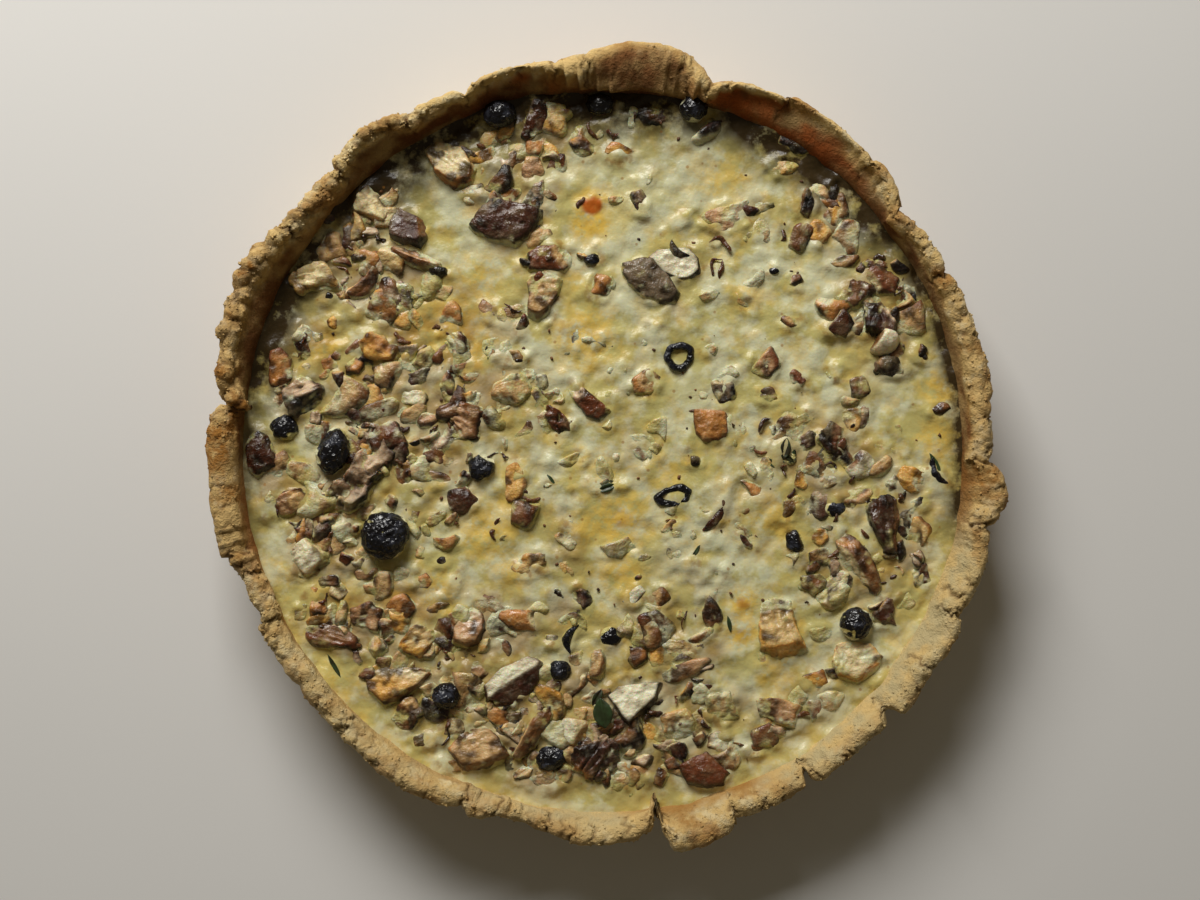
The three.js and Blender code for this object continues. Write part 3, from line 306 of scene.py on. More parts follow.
# The small bits: x, y, length, width, the angle of the length, height above the custard, look, and the
# bend of those that are bent
BITS = [
    (-47.5, 90.5, 11, 8, 0, 1.9, "fibrous cream tan ivory"),
    (-36, 103, 10, 10, 30, 2.2, "gilled grey brown lilac"),
    (-26.5, 99, 12, 9, 80, 2.2, "fibrous tan brown pink_tan"),
    (-44.6, 104.5, 12, 8, 20, 2.4, "smooth golden orange golden"),
    (11, 88.5, 14, 7.5, 110, 2.2, "gilled umber umber plum", 0.2),
    (4.5, 104.5, 12, 8, -20, 2, "smooth orange brown golden"),
    (63.5, 100.5, 13, 8, 10, 2, "coated golden brown straw"),
    (66, 109, 20, 5, -35, 2.2, "fibrous umber umber plum", 0.3),
    (71.5, 87, 11.5, 9.5, 80, 2.5, "wrinkled umber plum -"),
    (76.5, 76, 11, 9.5, -60, 2.2, "smooth straw orange golden"),
    (48.5, 53, 13, 6, -45, 1.3, "coated golden orange straw"),
    (-2.5, 57, 11, 10.5, 40, 2.4, "smooth orange brown orange"),
    (-42.5, 48, 12, 5, -50, 2, "smooth pink_tan chestnut lilac"),
    (-78.5, 53, 18, 8, 85, 2.4, "gilled brown umber lilac", 0.3),
    (-93, 76, 18, 6, 85, 2.4, "gilled plum umber grey", 0.3),
    (-80, 82.5, 11, 9, 60, 3.4, "clean ivory tan cream"),
    (-99.5, 71, 12, 10.5, 10, 3, "smooth tan brown tan"),
    (-109.5, 40, 11, 9, 0, 2, "coated golden orange straw"),
    (-104.5, 28, 11, 7, 10, 2, "fibrous cream tan ivory"),
    (-70, 17.5, 13, 8, -30, 2.2, "fibrous cream umber ivory"),
    (-72, 34.5, 11, 7.5, 20, 2.2, "smooth lilac umber grey", 0.2),
    (-85, 17.5, 13.5, 9.5, 0, 2.6, "smooth orange brown golden"),
    (-52.5, 28, 11, 7.5, 0, 2, "smooth orange russet pink_tan"),
    (-34.5, 31.5, 12, 5.5, 0, 1.8, "smooth tan brown straw"),
    (-62, -3, 13, 8.5, -50, 2.2, "wrinkled brown chestnut brown"),
    (-13.5, -5, 13, 5.5, 10, 1.4, "coated tan brown straw"),
    (-0.5, -14, 12, 5, 0, 1.6, "wrinkled umber brown leaf", 0.3),
    (-15.5, -32, 17, 7.5, -60, 2, "coated orange golden straw"),
    (-26.5, -42.5, 20, 9, 20, 1.9, "lobed golden orange straw"),
    (-55, -50, 9, 4, 70, 1.8, "smooth brown umber tan"),
    (-9.5, -55, 13, 8, 100, 2, "gilled umber umber plum", 0.3),
    (-59, -42, 4.5, 4, 0, 1.6, "smooth umber umber -"),
    (-98, -28, 9, 7, 80, 2, "smooth orange russet golden"),
    (-93, -41, 7, 6, 0, 2.2, "smooth russet chestnut -"),
    (-96.5, -53, 8, 7, 0, 2.2, "smooth tan umber cream"),
    (-86.5, -45, 11, 9, 0, 2, "fibrous tan brown pink_tan"),
    (-72, -47, 11, 8, 0, 1.2, "coated straw tan cream"),
    (14, 22.5, 13, 9.5, 40, 2.2, "smooth orange brown tan"),
    (41.5, 21, 14, 8.5, 100, 2.4, "gilled umber umber grey"),
    (69, 24, 9, 5, -50, 2, "wrinkled russet umber -", 0.2),
    (58, 18, 7, 6, 0, 1.8, "gilled brown umber lilac"),
    (83, 26, 10, 7, 0, 1.2, "coated golden straw straw"),
    (70, 9.5, 10, 6, 20, 1.4, "coated golden straw straw"),
    (63.5, -2.5, 11, 8, 70, 2.2, "wrinkled charcoal umber leaf", 0.3),
    (98.5, -2, 13, 6, -15, 1.8, "coated cream tan tan"),
    (80.5, -12, 13, 7, 0, 2, "gilled cream brown ivory"),
    (120, 13, 9, 5, 0, 2, "smooth brown umber brown"),
    (90, -18.5, 15, 6, 5, 2.2, "smooth tan brown pink_tan", 0.3),
    (82, -22.5, 8, 6.5, 0, 2.4, "shrunken charcoal - -"),
    (67.5, -34.5, 9, 6.5, -60, 2.4, "shrunken charcoal umber -"),
    (77, -33, 8, 7, 0, 2, "smooth golden orange golden"),
    (74, -43.5, 8, 5, 30, 1.8, "wrinkled brown umber -"),
    (113, -47.5, 10, 7, 80, 2.4, "wrinkled plum umber brown"),
    (66, -22.5, 16, 6.5, 30, 1.3, "coated golden straw straw"),
    (40, -24.5, 18, 3.8, 60, 2, "smooth chestnut umber -", 0.9),
    (22.5, -29.5, 8, 6.5, 0, 2, "smooth brown umber tan"),
    (32, -6, 5, 4.5, 0, 1.8, "wrinkled umber umber -"),
    (7.5, -37, 7, 4, 10, 1.5, "smooth pink_tan brown lilac"),
    (50, -34.5, 8, 3.6, -50, 1.6, "smooth plum umber -", 0.2),
    (9.5, -54, 11, 8.5, 30, 2.2, "smooth ivory chestnut ivory"),
    (18.5, -54.5, 12, 8.5, 0, 2.2, "smooth orange brown tan"),
    (33, -45, 18, 8, -10, 1.3, "coated straw golden tan"),
    (37, -60, 16, 8, 100, 2.2, "gilled umber umber brown", 0.4),
    (1.5, -68.5, 8.5, 7, 0, 2, "shrunken charcoal - -"),
    (107.5, -56, 9, 7, 20, 1.6, "coated cream straw cream"),
    (-13.5, -69.5, 12, 3.6, 78, 2.4, "smooth charcoal - -", -0.9),
    (-19, -69, 8.5, 7, 70, 1.6, "smooth ivory - -"),
    (28.5, -81, 24, 6, 17, 3.2, "fibrous pink_tan umber lilac"),
    (-45.5, -79.5, 12, 11, 0, 2, "fibrous tan brown pink_tan"),
    (-49, -94, 9, 7, 0, 1.8, "coated cream tan ivory"),
    (-54, -114, 14, 7, 10, 2, "fibrous tan brown tan"),
    (-22, -121, 14, 8, 10, 2, "fibrous tan brown pink_tan"),
    (-56, -102.5, 13, 9.5, 10, 2.4, "fibrous cream brown cream"),
    (5, -121, 12, 7, 0, 2, "coated tan brown tan"),
    (-10.5, -85.5, 16, 6, 50, 2.2, "fibrous brown umber tan", 0.2),
    (10.5, -75.5, 9, 9.5, 0, 2.2, "smooth brown umber orange"),
    (26, -74, 17, 9, -10, 1.9, "coated straw golden cream"),
    (34, -80, 12, 5.5, 20, 2.2, "gilled umber umber lilac"),
    (41, -107, 11, 8.5, 0, 2.2, "fibrous cream brown ivory"),
    (75, -85, 10.5, 9.5, 0, 2.2, "smooth orange brown golden"),
    (79, -91.5, 13, 11, 40, 1.9, "coated tan brown tan"),
    (54, -109, 10, 4, 10, 1.6, "smooth brown umber -"),
    (-12.3, -102.5, 12, 11, 45, 4.4, "clean cream tan ivory"),
    (18.5, -119, 10, 7, -40, 2, "smooth brown umber tan"),
    (83.5, 43.5, 12, 10.5, 12, 3, "smooth chestnut umber -"),
    (-52.5, -20, 12, 10.5, 20, 3, "smooth chestnut russet -"),
    (-62, -58, 13, 9, 20, 1.9, "fibrous golden brown tan"),
    (57.5, 30, 12, 11.5, 10, 2.6, "smooth russet umber pink_tan"),
    (31, 121, 10, 10, 0, 8, "shrunken charcoal - -"),
    (-38.5, 118.8, 12, 10, 10, 7, "shrunken charcoal - -"),
    (-2.5, 122.8, 10, 8, 0, 4.6, "shrunken charcoal - -"),
    (18, 118.5, 18, 6, 0, 2.2, "wrinkled umber umber brown", 0.1),
    (-116, 6.5, 10, 9, 0, 4, "shrunken charcoal - -"),
    (-17, -80.5, 8, 7.5, 0, 3.4, "shrunken charcoal - -"),
    (-20, -112, 12, 9, 20, 4, "shrunken charcoal - -"),
    (99.8, -60.3, 11, 10, 60, 3, "wrinkled chestnut russet -"),
    (90.8, -7, 11.5, 10.5, 0, 3.2, "smooth ivory - -"),
    (84, 0, 7, 4, 40, 3, "smooth russet - -", 0.3),
    (119, -10, 13, 3.6, -55, 2.2, "smooth charcoal - -", 0.9),
    (18, 41, 9, 5.5, 20, 1.3, "coated straw golden straw"),
    (66, 44.5, 8, 7, 10, 2.2, "smooth brown umber tan"),
    (67.5, 59, 8, 6, 10, 2, "smooth umber umber brown"),
    (60, 63, 5, 4, 0, 2, "shrunken charcoal - -"),
    (112, 33, 7, 6, 0, 2, "wrinkled umber umber -"),
    (81.5, 90, 9, 5, 80, 2, "wrinkled umber umber -"),
    (99.3, 37, 11.5, 8.5, 15, 7, "clean ivory - -"),
    (101, 28.5, 15, 7.5, -12, 3, "wrinkled umber umber -"),
    (-5.5, 67, 7, 4, 0, 1.8, "wrinkled charcoal umber -"),
    (-59, 41, 3.5, 3, 0, 1.5, "smooth umber - -"),
    (-83, 24, 7, 5, 60, 2.2, "wrinkled umber umber -"),
    (-98, 44, 6, 5, 20, 2.2, "smooth golden orange -"),
    (-92, 49, 9, 5, -40, 2.4, "gilled brown umber lilac"),
    (-88, 68, 9, 5, 40, 3, "wrinkled umber umber -", 0.2),
    (-100, 82, 9, 5, 70, 3, "wrinkled chestnut umber grey"),
    (-86, 77, 10, 6, -10, 2.6, "gilled grey umber lilac"),
    (-60, 62, 8, 4, -10, 3, "smooth umber umber -"),
    (-104, 10, 8, 6, 60, 3, "gilled umber umber lilac"),
    (-96, 24, 9, 5, 100, 3, "smooth plum umber -"),
    (-74, -3, 12, 6, 60, 3, "gilled plum umber grey", 0.2),
    (-83, -26, 9, 5, 10, 2.2, "smooth tan brown cream"),
    (-102, -14, 8, 5, 30, 2.2, "smooth brown umber tan"),
    (-122, -20, 13, 6.5, 85, 2, "coated cream tan ivory"),
    (-106, -54, 8, 6, 60, 2, "smooth orange brown golden"),
    (-69, 1, 6, 4, 0, 2, "smooth umber umber -"),
    (-64, 10, 12, 6, 30, 2.6, "gilled plum umber pink_tan"),
    (-100, 53, 6, 4, 0, 2, "smooth umber - -"),
    (103, 47, 9, 4, 110, 3.2, "wrinkled umber umber -", 0.2),
    (105, 64, 10, 4, -40, 3, "smooth umber umber -", 0.4),
    (94, 52, 12, 4, -10, 2.4, "fibrous umber umber tan"),
    (28, 82, 8, 4, 30, 2, "smooth umber umber russet", 0.3),
    (52, 84, 8, 4, -20, 2, "smooth chestnut umber -", 0.2),
    (26, 69.5, 12, 3.4, -40, 2.4, "smooth umber umber -", 0.9),
    (-24, 60, 6, 4, 40, 2.2, "smooth russet umber -"),
    (-30, 44, 8, 4, 60, 2.4, "smooth russet umber -", 0.2),
    (-27, 66, 9, 4, 10, 3, "wrinkled umber umber -", 0.2),
    (-8, 68, 6, 5, 0, 2, "wrinkled umber umber -"),
    (34, -84, 8, 3.6, 10, 2, "smooth umber umber -", 0.2),
    (3, -101, 9, 6, 10, 3, "gilled chestnut umber russet", 0.2),
    (13, -113, 10, 7, 20, 3.4, "wrinkled plum umber lilac"),
    (21, -108, 12, 6, -10, 3, "gilled plum umber lilac", 0.2),
    (-30, -118, 10, 6, 30, 2.4, "fibrous tan umber tan"),
    (-33, -97, 9, 5, 50, 2.6, "fibrous brown umber tan"),
    (-46, -99, 8, 6, 0, 2, "coated tan brown tan"),
    (-66, -106, 9, 6, 20, 2, "fibrous tan brown cream"),
    (-57, -80, 8, 4, 10, 2.2, "smooth brown umber tan"),
    (-91, -72, 8, 4, -20, 2.2, "smooth brown umber -"),
    (-78, -60, 7, 4, 20, 2.2, "fibrous golden brown tan"),
    (-110, -60, 8, 5, 60, 2, "coated tan brown tan"),
    (105, -37, 12, 4, 100, 2.6, "wrinkled umber umber -", 0.3),
    (96, -21, 8, 5, -20, 3, "wrinkled charcoal umber -"),
    (97, -57, 8, 4, 30, 2.4, "wrinkled chestnut umber -"),
]

# Where the filling is crowded: x, y, spread, how many more small bits and dark strands lie there, and how
# much custard covers them
CROWDED = np.array([
    [-88, 68, 17, 44, 16, 0], [-98, 84, 10, 14, 4, 0], [-96, 22, 18, 46, 9, 0], [-72, -6, 17, 44, 12, 0],
    [-50, 12, 15, 24, 8, 0.15], [-98, -30, 15, 36, 6, 0], [-84, -62, 22, 66, 10, 0],
    [-48, -72, 17, 36, 7, 0.1], [-48, -104, 18, 52, 6, 0], [0, -108, 22, 60, 14, 0],
    [20, -88, 17, 20, 6, 0.1], [-36, 98, 16, 28, 9, 0], [0, 112, 24, 12, 12, 0.1], [98, 54, 13, 20, 9, 0],
    [106, -28, 12, 20, 9, 0], [86, -6, 14, 20, 7, 0.1], [66, -97, 18, 26, 3, 0.1],
    [80, -48, 16, 14, 5, 0.2], [-62, 40, 17, 22, 6, 0.2], [40, 72, 16, 6, 4, 0.4], [60, 0, 18, 10, 6, 0.3],
    [-12, -58, 20, 20, 5, 0.3], [30, -50, 18, 12, 4, 0.4], [-26, 28, 18, 12, 4, 0.3],
    [80, 86, 14, 10, 5, 0.1], [20, 10, 30, 14, 4, 0.45], [10, 60, 30, 8, 3, 0.5],
    [-20, 0, 36, 18, 4, 0.45], [40, -10, 36, 14, 2, 0.45],
])
FILL_SHARE = 1.05  # how many of those bits are made
CROWD_REACH = 119  # how far from the middle they may lie

# The looks of those bits, and the tones of the pale cut that many bits show
FILL_LOOKS = (
    "smooth golden brown straw", "smooth golden umber golden",
    "fibrous tan umber tan", "gilled umber umber brown",
    "wrinkled umber plum chestnut", "smooth brown umber tan",
    "smooth orange umber orange", "coated tan umber brown",
    "wrinkled chestnut umber brown", "smooth russet umber brown",
    "gilled plum umber lilac", "fibrous brown umber tan",
)
FLESH = ("cream", "tan", "lilac", "golden", "pink_tan", "brown")

# Rings of olive: x, y, half length, half width, thickness, angle and height above the custard
OLIVE_RINGS = [
    (26, 32.3, 5.6, 5.3, 2.7, 20, 1.2),
    (24, -18, 6.8, 4.2, 2.9, 10, 0.9),
]

# Leaves and needles of herb: x, y, length, width, angle and height above the custard
HERBS = [
    (-1.5, -95.5, 11, 7, 100, 4), (-3.5, -90, 7, 3, 60, 2.5), (64, -1, 8, 4, 80, 1.2),
    (59, -6, 7, 2.4, -30, 0.6), (-98, -79, 10, 1.6, -60, 0.6), (0, -15, 7, 3, 20, 1.2),
    (118, -6, 8, 2, -60, 0.6), (65, -4, 6, 2, 140, 1), (-43, 35, 5, 1.4, 70, 0.6),
    (44, -64, 6, 1.6, 100, 0.6), (10, 60, 4, 1.2, 30, 0.6),
    (-20, -12, 5, 1.2, -50, 0.6), (32, -38, 6, 1.4, 60, 0.6), (90, 10, 4, 1.2, 10, 0.6),
]


# Cells along a side of the ball that a piece is made from
TOPPING_CELLS, OUTLINED_CELLS, BIT_CELLS, FILL_CELLS = 24, 32, 10, 7

SUNK = 2.2  # how deep below the custard's level a piece's foot lies
LEAN = (-0.22, 0.5)  # how far a piece's top lies to the upper left of its foot, for each unit of height
OUTLINE_LEAN = 105  # the angle to which the top of an outlined piece leans
GILL_FAN = 14  # how close together gills lie
GLOSSY = ("plum", "chestnut", "russet", "charcoal", "grey")
WARM_SHADE = (1, 1.1, 1.28)  # powers by which cooking and painted shade darken red, green and blue


def length(name, description, size, least=1):
    """A length property, given in millimetres."""
    return FloatProperty(
        name=name, description=description, default=size * MM, min=least * MM, unit="LENGTH")


def count_of(name, description, count):
    """A property for how many there are."""
    return IntProperty(name=name, description=description, default=count, min=0)


class TartShape(bpy.types.PropertyGroup):
    """Sizes of the relief."""

    knob_size: length("Knob size", "Width of the lumps of dough on the rim", 5)
    knob_height: length("Knob height", "How far the lumps of dough stand out", 1.45, 0)
    grain_size: length("Grain size", "Width of the crumbs that the rim is made of", 1.9, 0.5)
    grain_height: length("Grain height", "How far the crumbs stand out", 0.24, 0)
    crack_count: count_of("Cracks", "Number of cracks across the rim", 150)
    crumb_count: count_of("Crumbs", "Number of loose crumbs stuck to the rim", 2600)
    crumb_radius: length("Crumb radius", "Radius of the largest crumbs", 0.8, 0.1)
    curd_size: length("Curd size", "Width of the soft lumps of the custard", 6.2)
    curd_height: length("Curd height", "How far the soft lumps of the custard stand out", 0.6, 0)
    pepper_count: count_of("Pepper", "Number of black specks on the custard", 150)


KEY_SHARE = 0.75  # how much of its own brightness a white, level surface shows under the light


def lit(red, green, blue):
    """The surface colour that shows as this sRGB colour under the light, in linear values."""
    share = np.array([red, green, blue]) / 255
    linear = np.where(share > 0.04045, ((share + 0.055) / 1.055) ** 2.4, share / 12.92)
    return tuple(float(c) for c in np.clip(linear / KEY_SHARE, 0, 1))


def tone(name, description, red, green, blue):
    """A colour property, given as the colour that shows."""
    return FloatVectorProperty(
        name=name, description=description, default=lit(red, green, blue), size=3, min=0, max=1,
        subtype="COLOR")


class TartTones(bpy.types.PropertyGroup):
    """Colours of the tart, as its surfaces have them."""

    ivory: tone("Ivory", "White mushroom flesh", 222, 215, 186)
    cream: tone("Cream", "Pale mushroom flesh", 210, 192, 146)
    straw: tone("Straw", "Yellowish mushroom flesh", 196, 166, 108)
    golden: tone("Golden", "Roasted flesh", 206, 156, 74)
    orange: tone("Orange", "Browned flesh", 178, 122, 62)
    tan: tone("Tan", "Moist cooked flesh", 188, 152, 100)
    pink_tan: tone("Pink tan", "Moist flesh near the gills", 182, 142, 102)
    brown: tone("Brown", "Dark cooked flesh", 118, 76, 38)
    russet: tone("Russet", "Red-brown skin", 112, 62, 36)
    chestnut: tone("Chestnut", "Dark red-brown skin", 70, 35, 20)
    plum: tone("Plum", "Purple-brown skin", 74, 43, 31)
    umber: tone("Umber", "Nearly black gills", 30, 16, 6)
    charcoal: tone("Charcoal", "Black olive", 15, 14, 17)
    grey: tone("Grey", "Grey-brown skin", 112, 96, 76)
    # The lilac tone is grey-pink flesh, and on dark gilled bits it also stands in for painted sheen
    lilac: tone("Lilac", "Grey-pink flesh", 192, 166, 136)
    leaf: tone("Leaf", "Cooked herb", 48, 66, 36)
    custard: tone("Custard", "Baked custard", 176, 167, 106)
    # The pale custard tone: paler clouds and patches of the custard
    custard_pale: tone("Pale custard", "Bleached custard", 195, 194, 160)
    # The stained custard tone is mushroom juice, and painted shade round the pieces
    custard_stain: tone("Stained custard", "Custard that mushroom juices have darkened", 132, 90, 38)
    # Dark juices, and the painted shadow of the far wall on the custard
    juice: tone("Juice", "Dark juices beside the far wall", 52, 40, 20)
    custard_gold: tone("Golden custard", "Browned cheese on the custard", 204, 170, 76)
    custard_brown: tone("Brown custard", "Burnt spots of the custard", 168, 86, 26)
    crust: tone("Crust", "Baked shortcrust", 194, 166, 110)
    crust_pale: tone("Pale crust", "Floury shortcrust", 202, 184, 140)
    crust_toasted: tone("Toasted crust", "Browned shortcrust", 142, 97, 40)
    # The dark crust tone is dark specks, and painted shade in the crevices and cracks
    crust_dark: tone("Dark crust", "Crevices between the crumbs", 74, 44, 14)
    # The red crust tone is a painted orange glow of light bounced in the shaded inside wall
    crust_red: tone("Red crust", "Inner wall that caught the heat", 156, 78, 26)
    crust_floury: tone("Floury crust", "Floury inside of the shell", 176, 160, 118)
    # The wall tone is toasted crust and painted shade on the smooth inside wall
    crust_wall: tone("Wall", "The smooth inside of the shell", 98, 57, 22)


def tone_of(name):
    """The scene's colour of that name."""
    return tuple(getattr(bpy.context.scene.tart_tones, name))


# Noise

def hashed(cells, seed):
    """A number from 0 to 1 for each whole-numbered cell, from a mix of its three coordinates' bits."""
    x, y, z = (cells[..., k].astype(np.int64).astype(np.uint64) for k in range(3))
    mixed = x * np.uint64(73856093) ^ y * np.uint64(19349663) ^ z * np.uint64(83492791)
    mixed ^= np.uint64(seed * 2654435761 & 0xFFFFFFFF)
    mixed = (mixed ^ (mixed >> np.uint64(15))) * np.uint64(2246822519)
    mixed = (mixed ^ (mixed >> np.uint64(13))) * np.uint64(3266489917)
    return ((mixed ^ (mixed >> np.uint64(16))) & np.uint64(0xFFFFFF)).astype(float) / 0x1000000


def noise(points, size, seed=SEED):
    """Smooth noise from -1 to 1: random values at the corners of cubes of that size, eased between them."""
    spot = points / size
    cell = np.floor(spot)
    share = spot - cell
    share = share * share * (3 - 2 * share)
    total = 0
    for corner in itertools.product((0, 1), repeat=3):
        weight = np.prod(np.where(corner, share, 1 - share), axis=-1)
        total = total + weight * hashed(cell + corner, seed)
    return 2 * total - 1


def nodules(points, size, seed=SEED):
    """Distances to the nearest and the next of one random middle for each cube of that size, in sizes."""
    spot = points / size
    cell = np.floor(spot)
    near = np.full(points.shape[:-1], 9.0)
    after = near.copy()
    for corner in itertools.product((-1, 0, 1), repeat=3):
        around = cell + corner
        middle = around + np.stack([hashed(around, seed + k) for k in (1, 2, 3)], axis=-1)
        distance = np.linalg.norm(middle - spot, axis=-1)
        after = np.minimum(after, np.maximum(near, distance))
        near = np.minimum(near, distance)
    return near, after


def ramp(value, low, high):
    """0 below low, 1 above high, eased between."""
    share = np.clip((value - low) / (high - low), 0, 1)
    return share * share * (3 - 2 * share)


def bell(distance, width):
    """1 at no distance, falling on both sides as a bell."""
    return np.exp(-((distance / width) ** 2))


def sectors(angles, rows, soft=5):
    """Strength of the sectors that an angle lies in, with soft ends."""
    total = np.zeros_like(angles)
    for first, last, strength in rows:
        turn = np.mod(angles - first + 180, 360) - 180
        width = last - first
        inside = ramp(turn, -soft, soft) * (1 - ramp(turn, width - soft, width + soft))
        total = np.maximum(total, strength * inside)
    return total


# Meshes

def rim_middle():
    """Where the rim's middle lies in the frame, in millimetres, from the box of the large olive."""
    low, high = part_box("olive_01")
    middle = (low + high) / 2 / MM
    return np.array([middle.x - LARGE_OLIVE[0], middle.y - LARGE_OLIVE[1], 0])


RIM_MIDDLE = rim_middle()


def placed(points):
    """Points in millimetres from the rim's middle, as metres in the frame."""
    return (points + RIM_MIDDLE) * MM


def node_points(name):
    """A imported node's corners in millimetres from the rim's middle."""
    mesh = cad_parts[name].data
    flat = np.empty(len(mesh.vertices) * 3, np.float32)
    mesh.vertices.foreach_get("co", flat)
    return flat.reshape(-1, 3).astype(float) / MM - RIM_MIDDLE


def grid_faces(index, wrap=False):
    """Four corners for each cell of a grid of point numbers."""
    if wrap:
        index = np.vstack([index, index[:1]])
    corners = [index[:-1, :-1], index[1:, :-1], index[1:, 1:], index[:-1, 1:]]
    return np.stack(corners, axis=-1).reshape(-1, 4)


def closed(index):
    """Point numbers whose second direction comes back to its start."""
    return np.column_stack([index, index[:, :1]])


def repeated(points, faces):
    """Many copies of a ball as one mesh, from the points of each and the faces of one."""
    count, each = points.shape[:2]
    corners = np.arange(count)[:, None, None] * each + faces
    return points.reshape(-1, 3), corners.reshape(-1, 4)


def add_piece(name, points, faces, slot, material, replaces=(), **values):
    """A smooth mesh of the tart's: faces are arrays of corners, and values one number or colour a point."""
    mesh = bpy.data.meshes.new(name)
    mesh.vertices.add(len(points))
    mesh.vertices.foreach_set("co", placed(points).astype(np.float32).ravel())
    corners = np.concatenate([part.ravel() for part in faces])
    sizes = np.concatenate([np.full(len(part), part.shape[1]) for part in faces])
    mesh.loops.add(len(corners))
    mesh.loops.foreach_set("vertex_index", corners.astype(np.int32))
    mesh.polygons.add(len(sizes))
    mesh.polygons.foreach_set("loop_start", (np.cumsum(sizes) - sizes).astype(np.int32))
    mesh.polygons.foreach_set("use_smooth", np.ones(len(sizes), bool))
    for key, value in values.items():
        colour = value.ndim == 2
        attribute = mesh.attributes.new(key, "FLOAT_COLOR" if colour else "FLOAT", "POINT")
        if colour:
            value = np.column_stack([value, np.ones(len(value))])
        attribute.data.foreach_set("color" if colour else "value", value.astype(np.float32).ravel())
    mesh.update(calc_edges=True)
    mesh.materials.append(material)
    piece = bpy.data.objects.new(name, mesh)
    bpy.context.scene.collection.objects.link(piece)
    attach(piece, "root")
    if replaces:
        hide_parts(*replaces)


def joined(parts):
    """Many meshes as one: parts are (points, faces, values) with faces of four corners each."""
    first = np.cumsum([0] + [len(points) for points, _, _ in parts[:-1]])
    points = np.vstack([part[0] for part in parts])
    faces = np.vstack([part[1] + start for part, start in zip(parts, first)])
    values = {key: np.concatenate([part[2][key] for part in parts]) for key in parts[0][2]}
    return points, faces, values


@functools.lru_cache
def ball(side):
    """Directions and faces of a ball: a cube's six faces of side by side cells, pushed out to a sphere."""
    steps = np.arange(side + 1) * 2 - side
    across, along = np.meshgrid(steps, steps, indexing="ij")
    faces = []
    for axis, sign in itertools.product(range(3), (-1, 1)):
        face = np.empty((side + 1, side + 1, 3), int)
        face[..., axis] = sign * side
        face[..., (axis + 1) % 3] = across
        face[..., (axis + 2) % 3] = along
        faces.append(face[:, ::sign])
    corners, index = np.unique(np.reshape(faces, (-1, 3)), axis=0, return_inverse=True)
    cells = [grid_faces(grid) for grid in index.reshape(6, side + 1, side + 1)]
    directions = np.tan(math.pi / 4 * corners / side)
    directions /= np.linalg.norm(directions, axis=1, keepdims=True)
    return directions, np.vstack(cells)


def turned(points, degrees):
    """Points turned about the vertical."""
    turn = math.radians(degrees)
    x, y, z = points.T
    return np.column_stack([
        x * math.cos(turn) - y * math.sin(turn), x * math.sin(turn) + y * math.cos(turn), z])


# The crust

def dough_piece(angles):
    """Reach, notch, rise and lip of the dough at each angle. Along a piece, the reach is the parabola
    through its start, middle and end. A notch narrows to nothing NOTCH_WIDTH from the joint."""
    starts = DOUGH[:, 0]
    degrees = np.mod(angles - starts[0], 360) + starts[0]
    here = np.searchsorted(starts, degrees, side="right") - 1
    after = (here + 1) % len(DOUGH)
    length = np.mod(starts[after] - starts[here], 360)
    t = (degrees - starts[here]) / length
    _, start, middle, end, rise, lip, gap = DOUGH[here].T
    notch_before = gap * np.clip(1 - t * length / NOTCH_WIDTH, 0, 1)
    notch_after = DOUGH[after, 6] * np.clip(1 - (1 - t) * length / NOTCH_WIDTH, 0, 1)
    bow = start * (1 - t) * (1 - 2 * t) + 4 * middle * t * (1 - t) + end * t * (2 * t - 1)
    return bow, np.maximum(notch_before, notch_after), rise, lip


def inner_radius(angles):
    """The filling's radius at each angle: a circle that is drawn off the rim's middle."""
    return INNER_RADIUS + INNER_DRIFT * np.cos(np.radians(angles - INNER_DRIFT_ANGLE))


def crust_section(angles):
    """Radius and height of the section's 16 points at each angle, from the base's middle out, up, over
    the lip and down the inside to the floor's middle."""
    bow, notch, _, _ = dough_piece(angles)
    blended = np.mean([dough_piece(angles + by)[2:] for by in BLEND], axis=0)
    rim = RIM_RADIUS + bow - notch
    top = np.maximum(RIM_HEIGHT + blended[0] - 0.8 * notch, FILL_LEVEL + BARE_WALL)
    lip = np.maximum(blended[1] - 0.6 * notch, 3)
    inner = inner_radius(angles)
    inside = rim - lip
    foot = BASE_RADIUS + 5
    none = np.zeros_like(angles)
    drop = sectors(angles, SLOPED, 2)
    radius = [
        none, none + BASE_RADIUS, none + BASE_RADIUS + 3, none + BASE_RADIUS + 4.5,
        foot + (rim - foot) * 0.25, foot + (rim - foot) * 0.6, rim, rim - lip * 0.14, rim - lip * 0.45,
        rim - lip * 0.82, inside, (inner + inside) / 2, inner + 0.4, inner - 2.5, inner - 8, none,
    ]
    height = [
        none, none, none + 1.4, none + 6, none + 16, none + 26, top - LIP_DEPTH, top - 1.6,
        top - 1.4 * drop, top - 1.3 - 4 * drop, top - LIP_DEPTH * 0.8 - 3.6 * drop,
        (top + FILL_LEVEL) / 2 - 0.5 - 0.8 * drop, none + FILL_LEVEL + 1.6,
        none + BASE_THICKNESS + 8, none + BASE_THICKNESS, none + BASE_THICKNESS,
    ]
    return np.stack(radius, axis=-1), np.stack(height, axis=-1)


def spline_weights(places, count):
    """How much each of a section's points counts at each place on it: the cubic B-spline, whose ends are
    held by points mirrored past them."""
    apart = np.abs(places[:, None] - np.arange(-1, count + 1))
    near = 2 / 3 - apart**2 + apart**3 / 2
    far = np.clip(2 - apart, 0, None) ** 3 / 6
    weights = np.where(apart < 1, near, far)
    weights[:, 1] += 2 * weights[:, 0]
    weights[:, 2] -= weights[:, 0]
    weights[:, -2] += 2 * weights[:, -1]
    weights[:, -3] -= weights[:, -1]
    return weights[:, 1:-1]


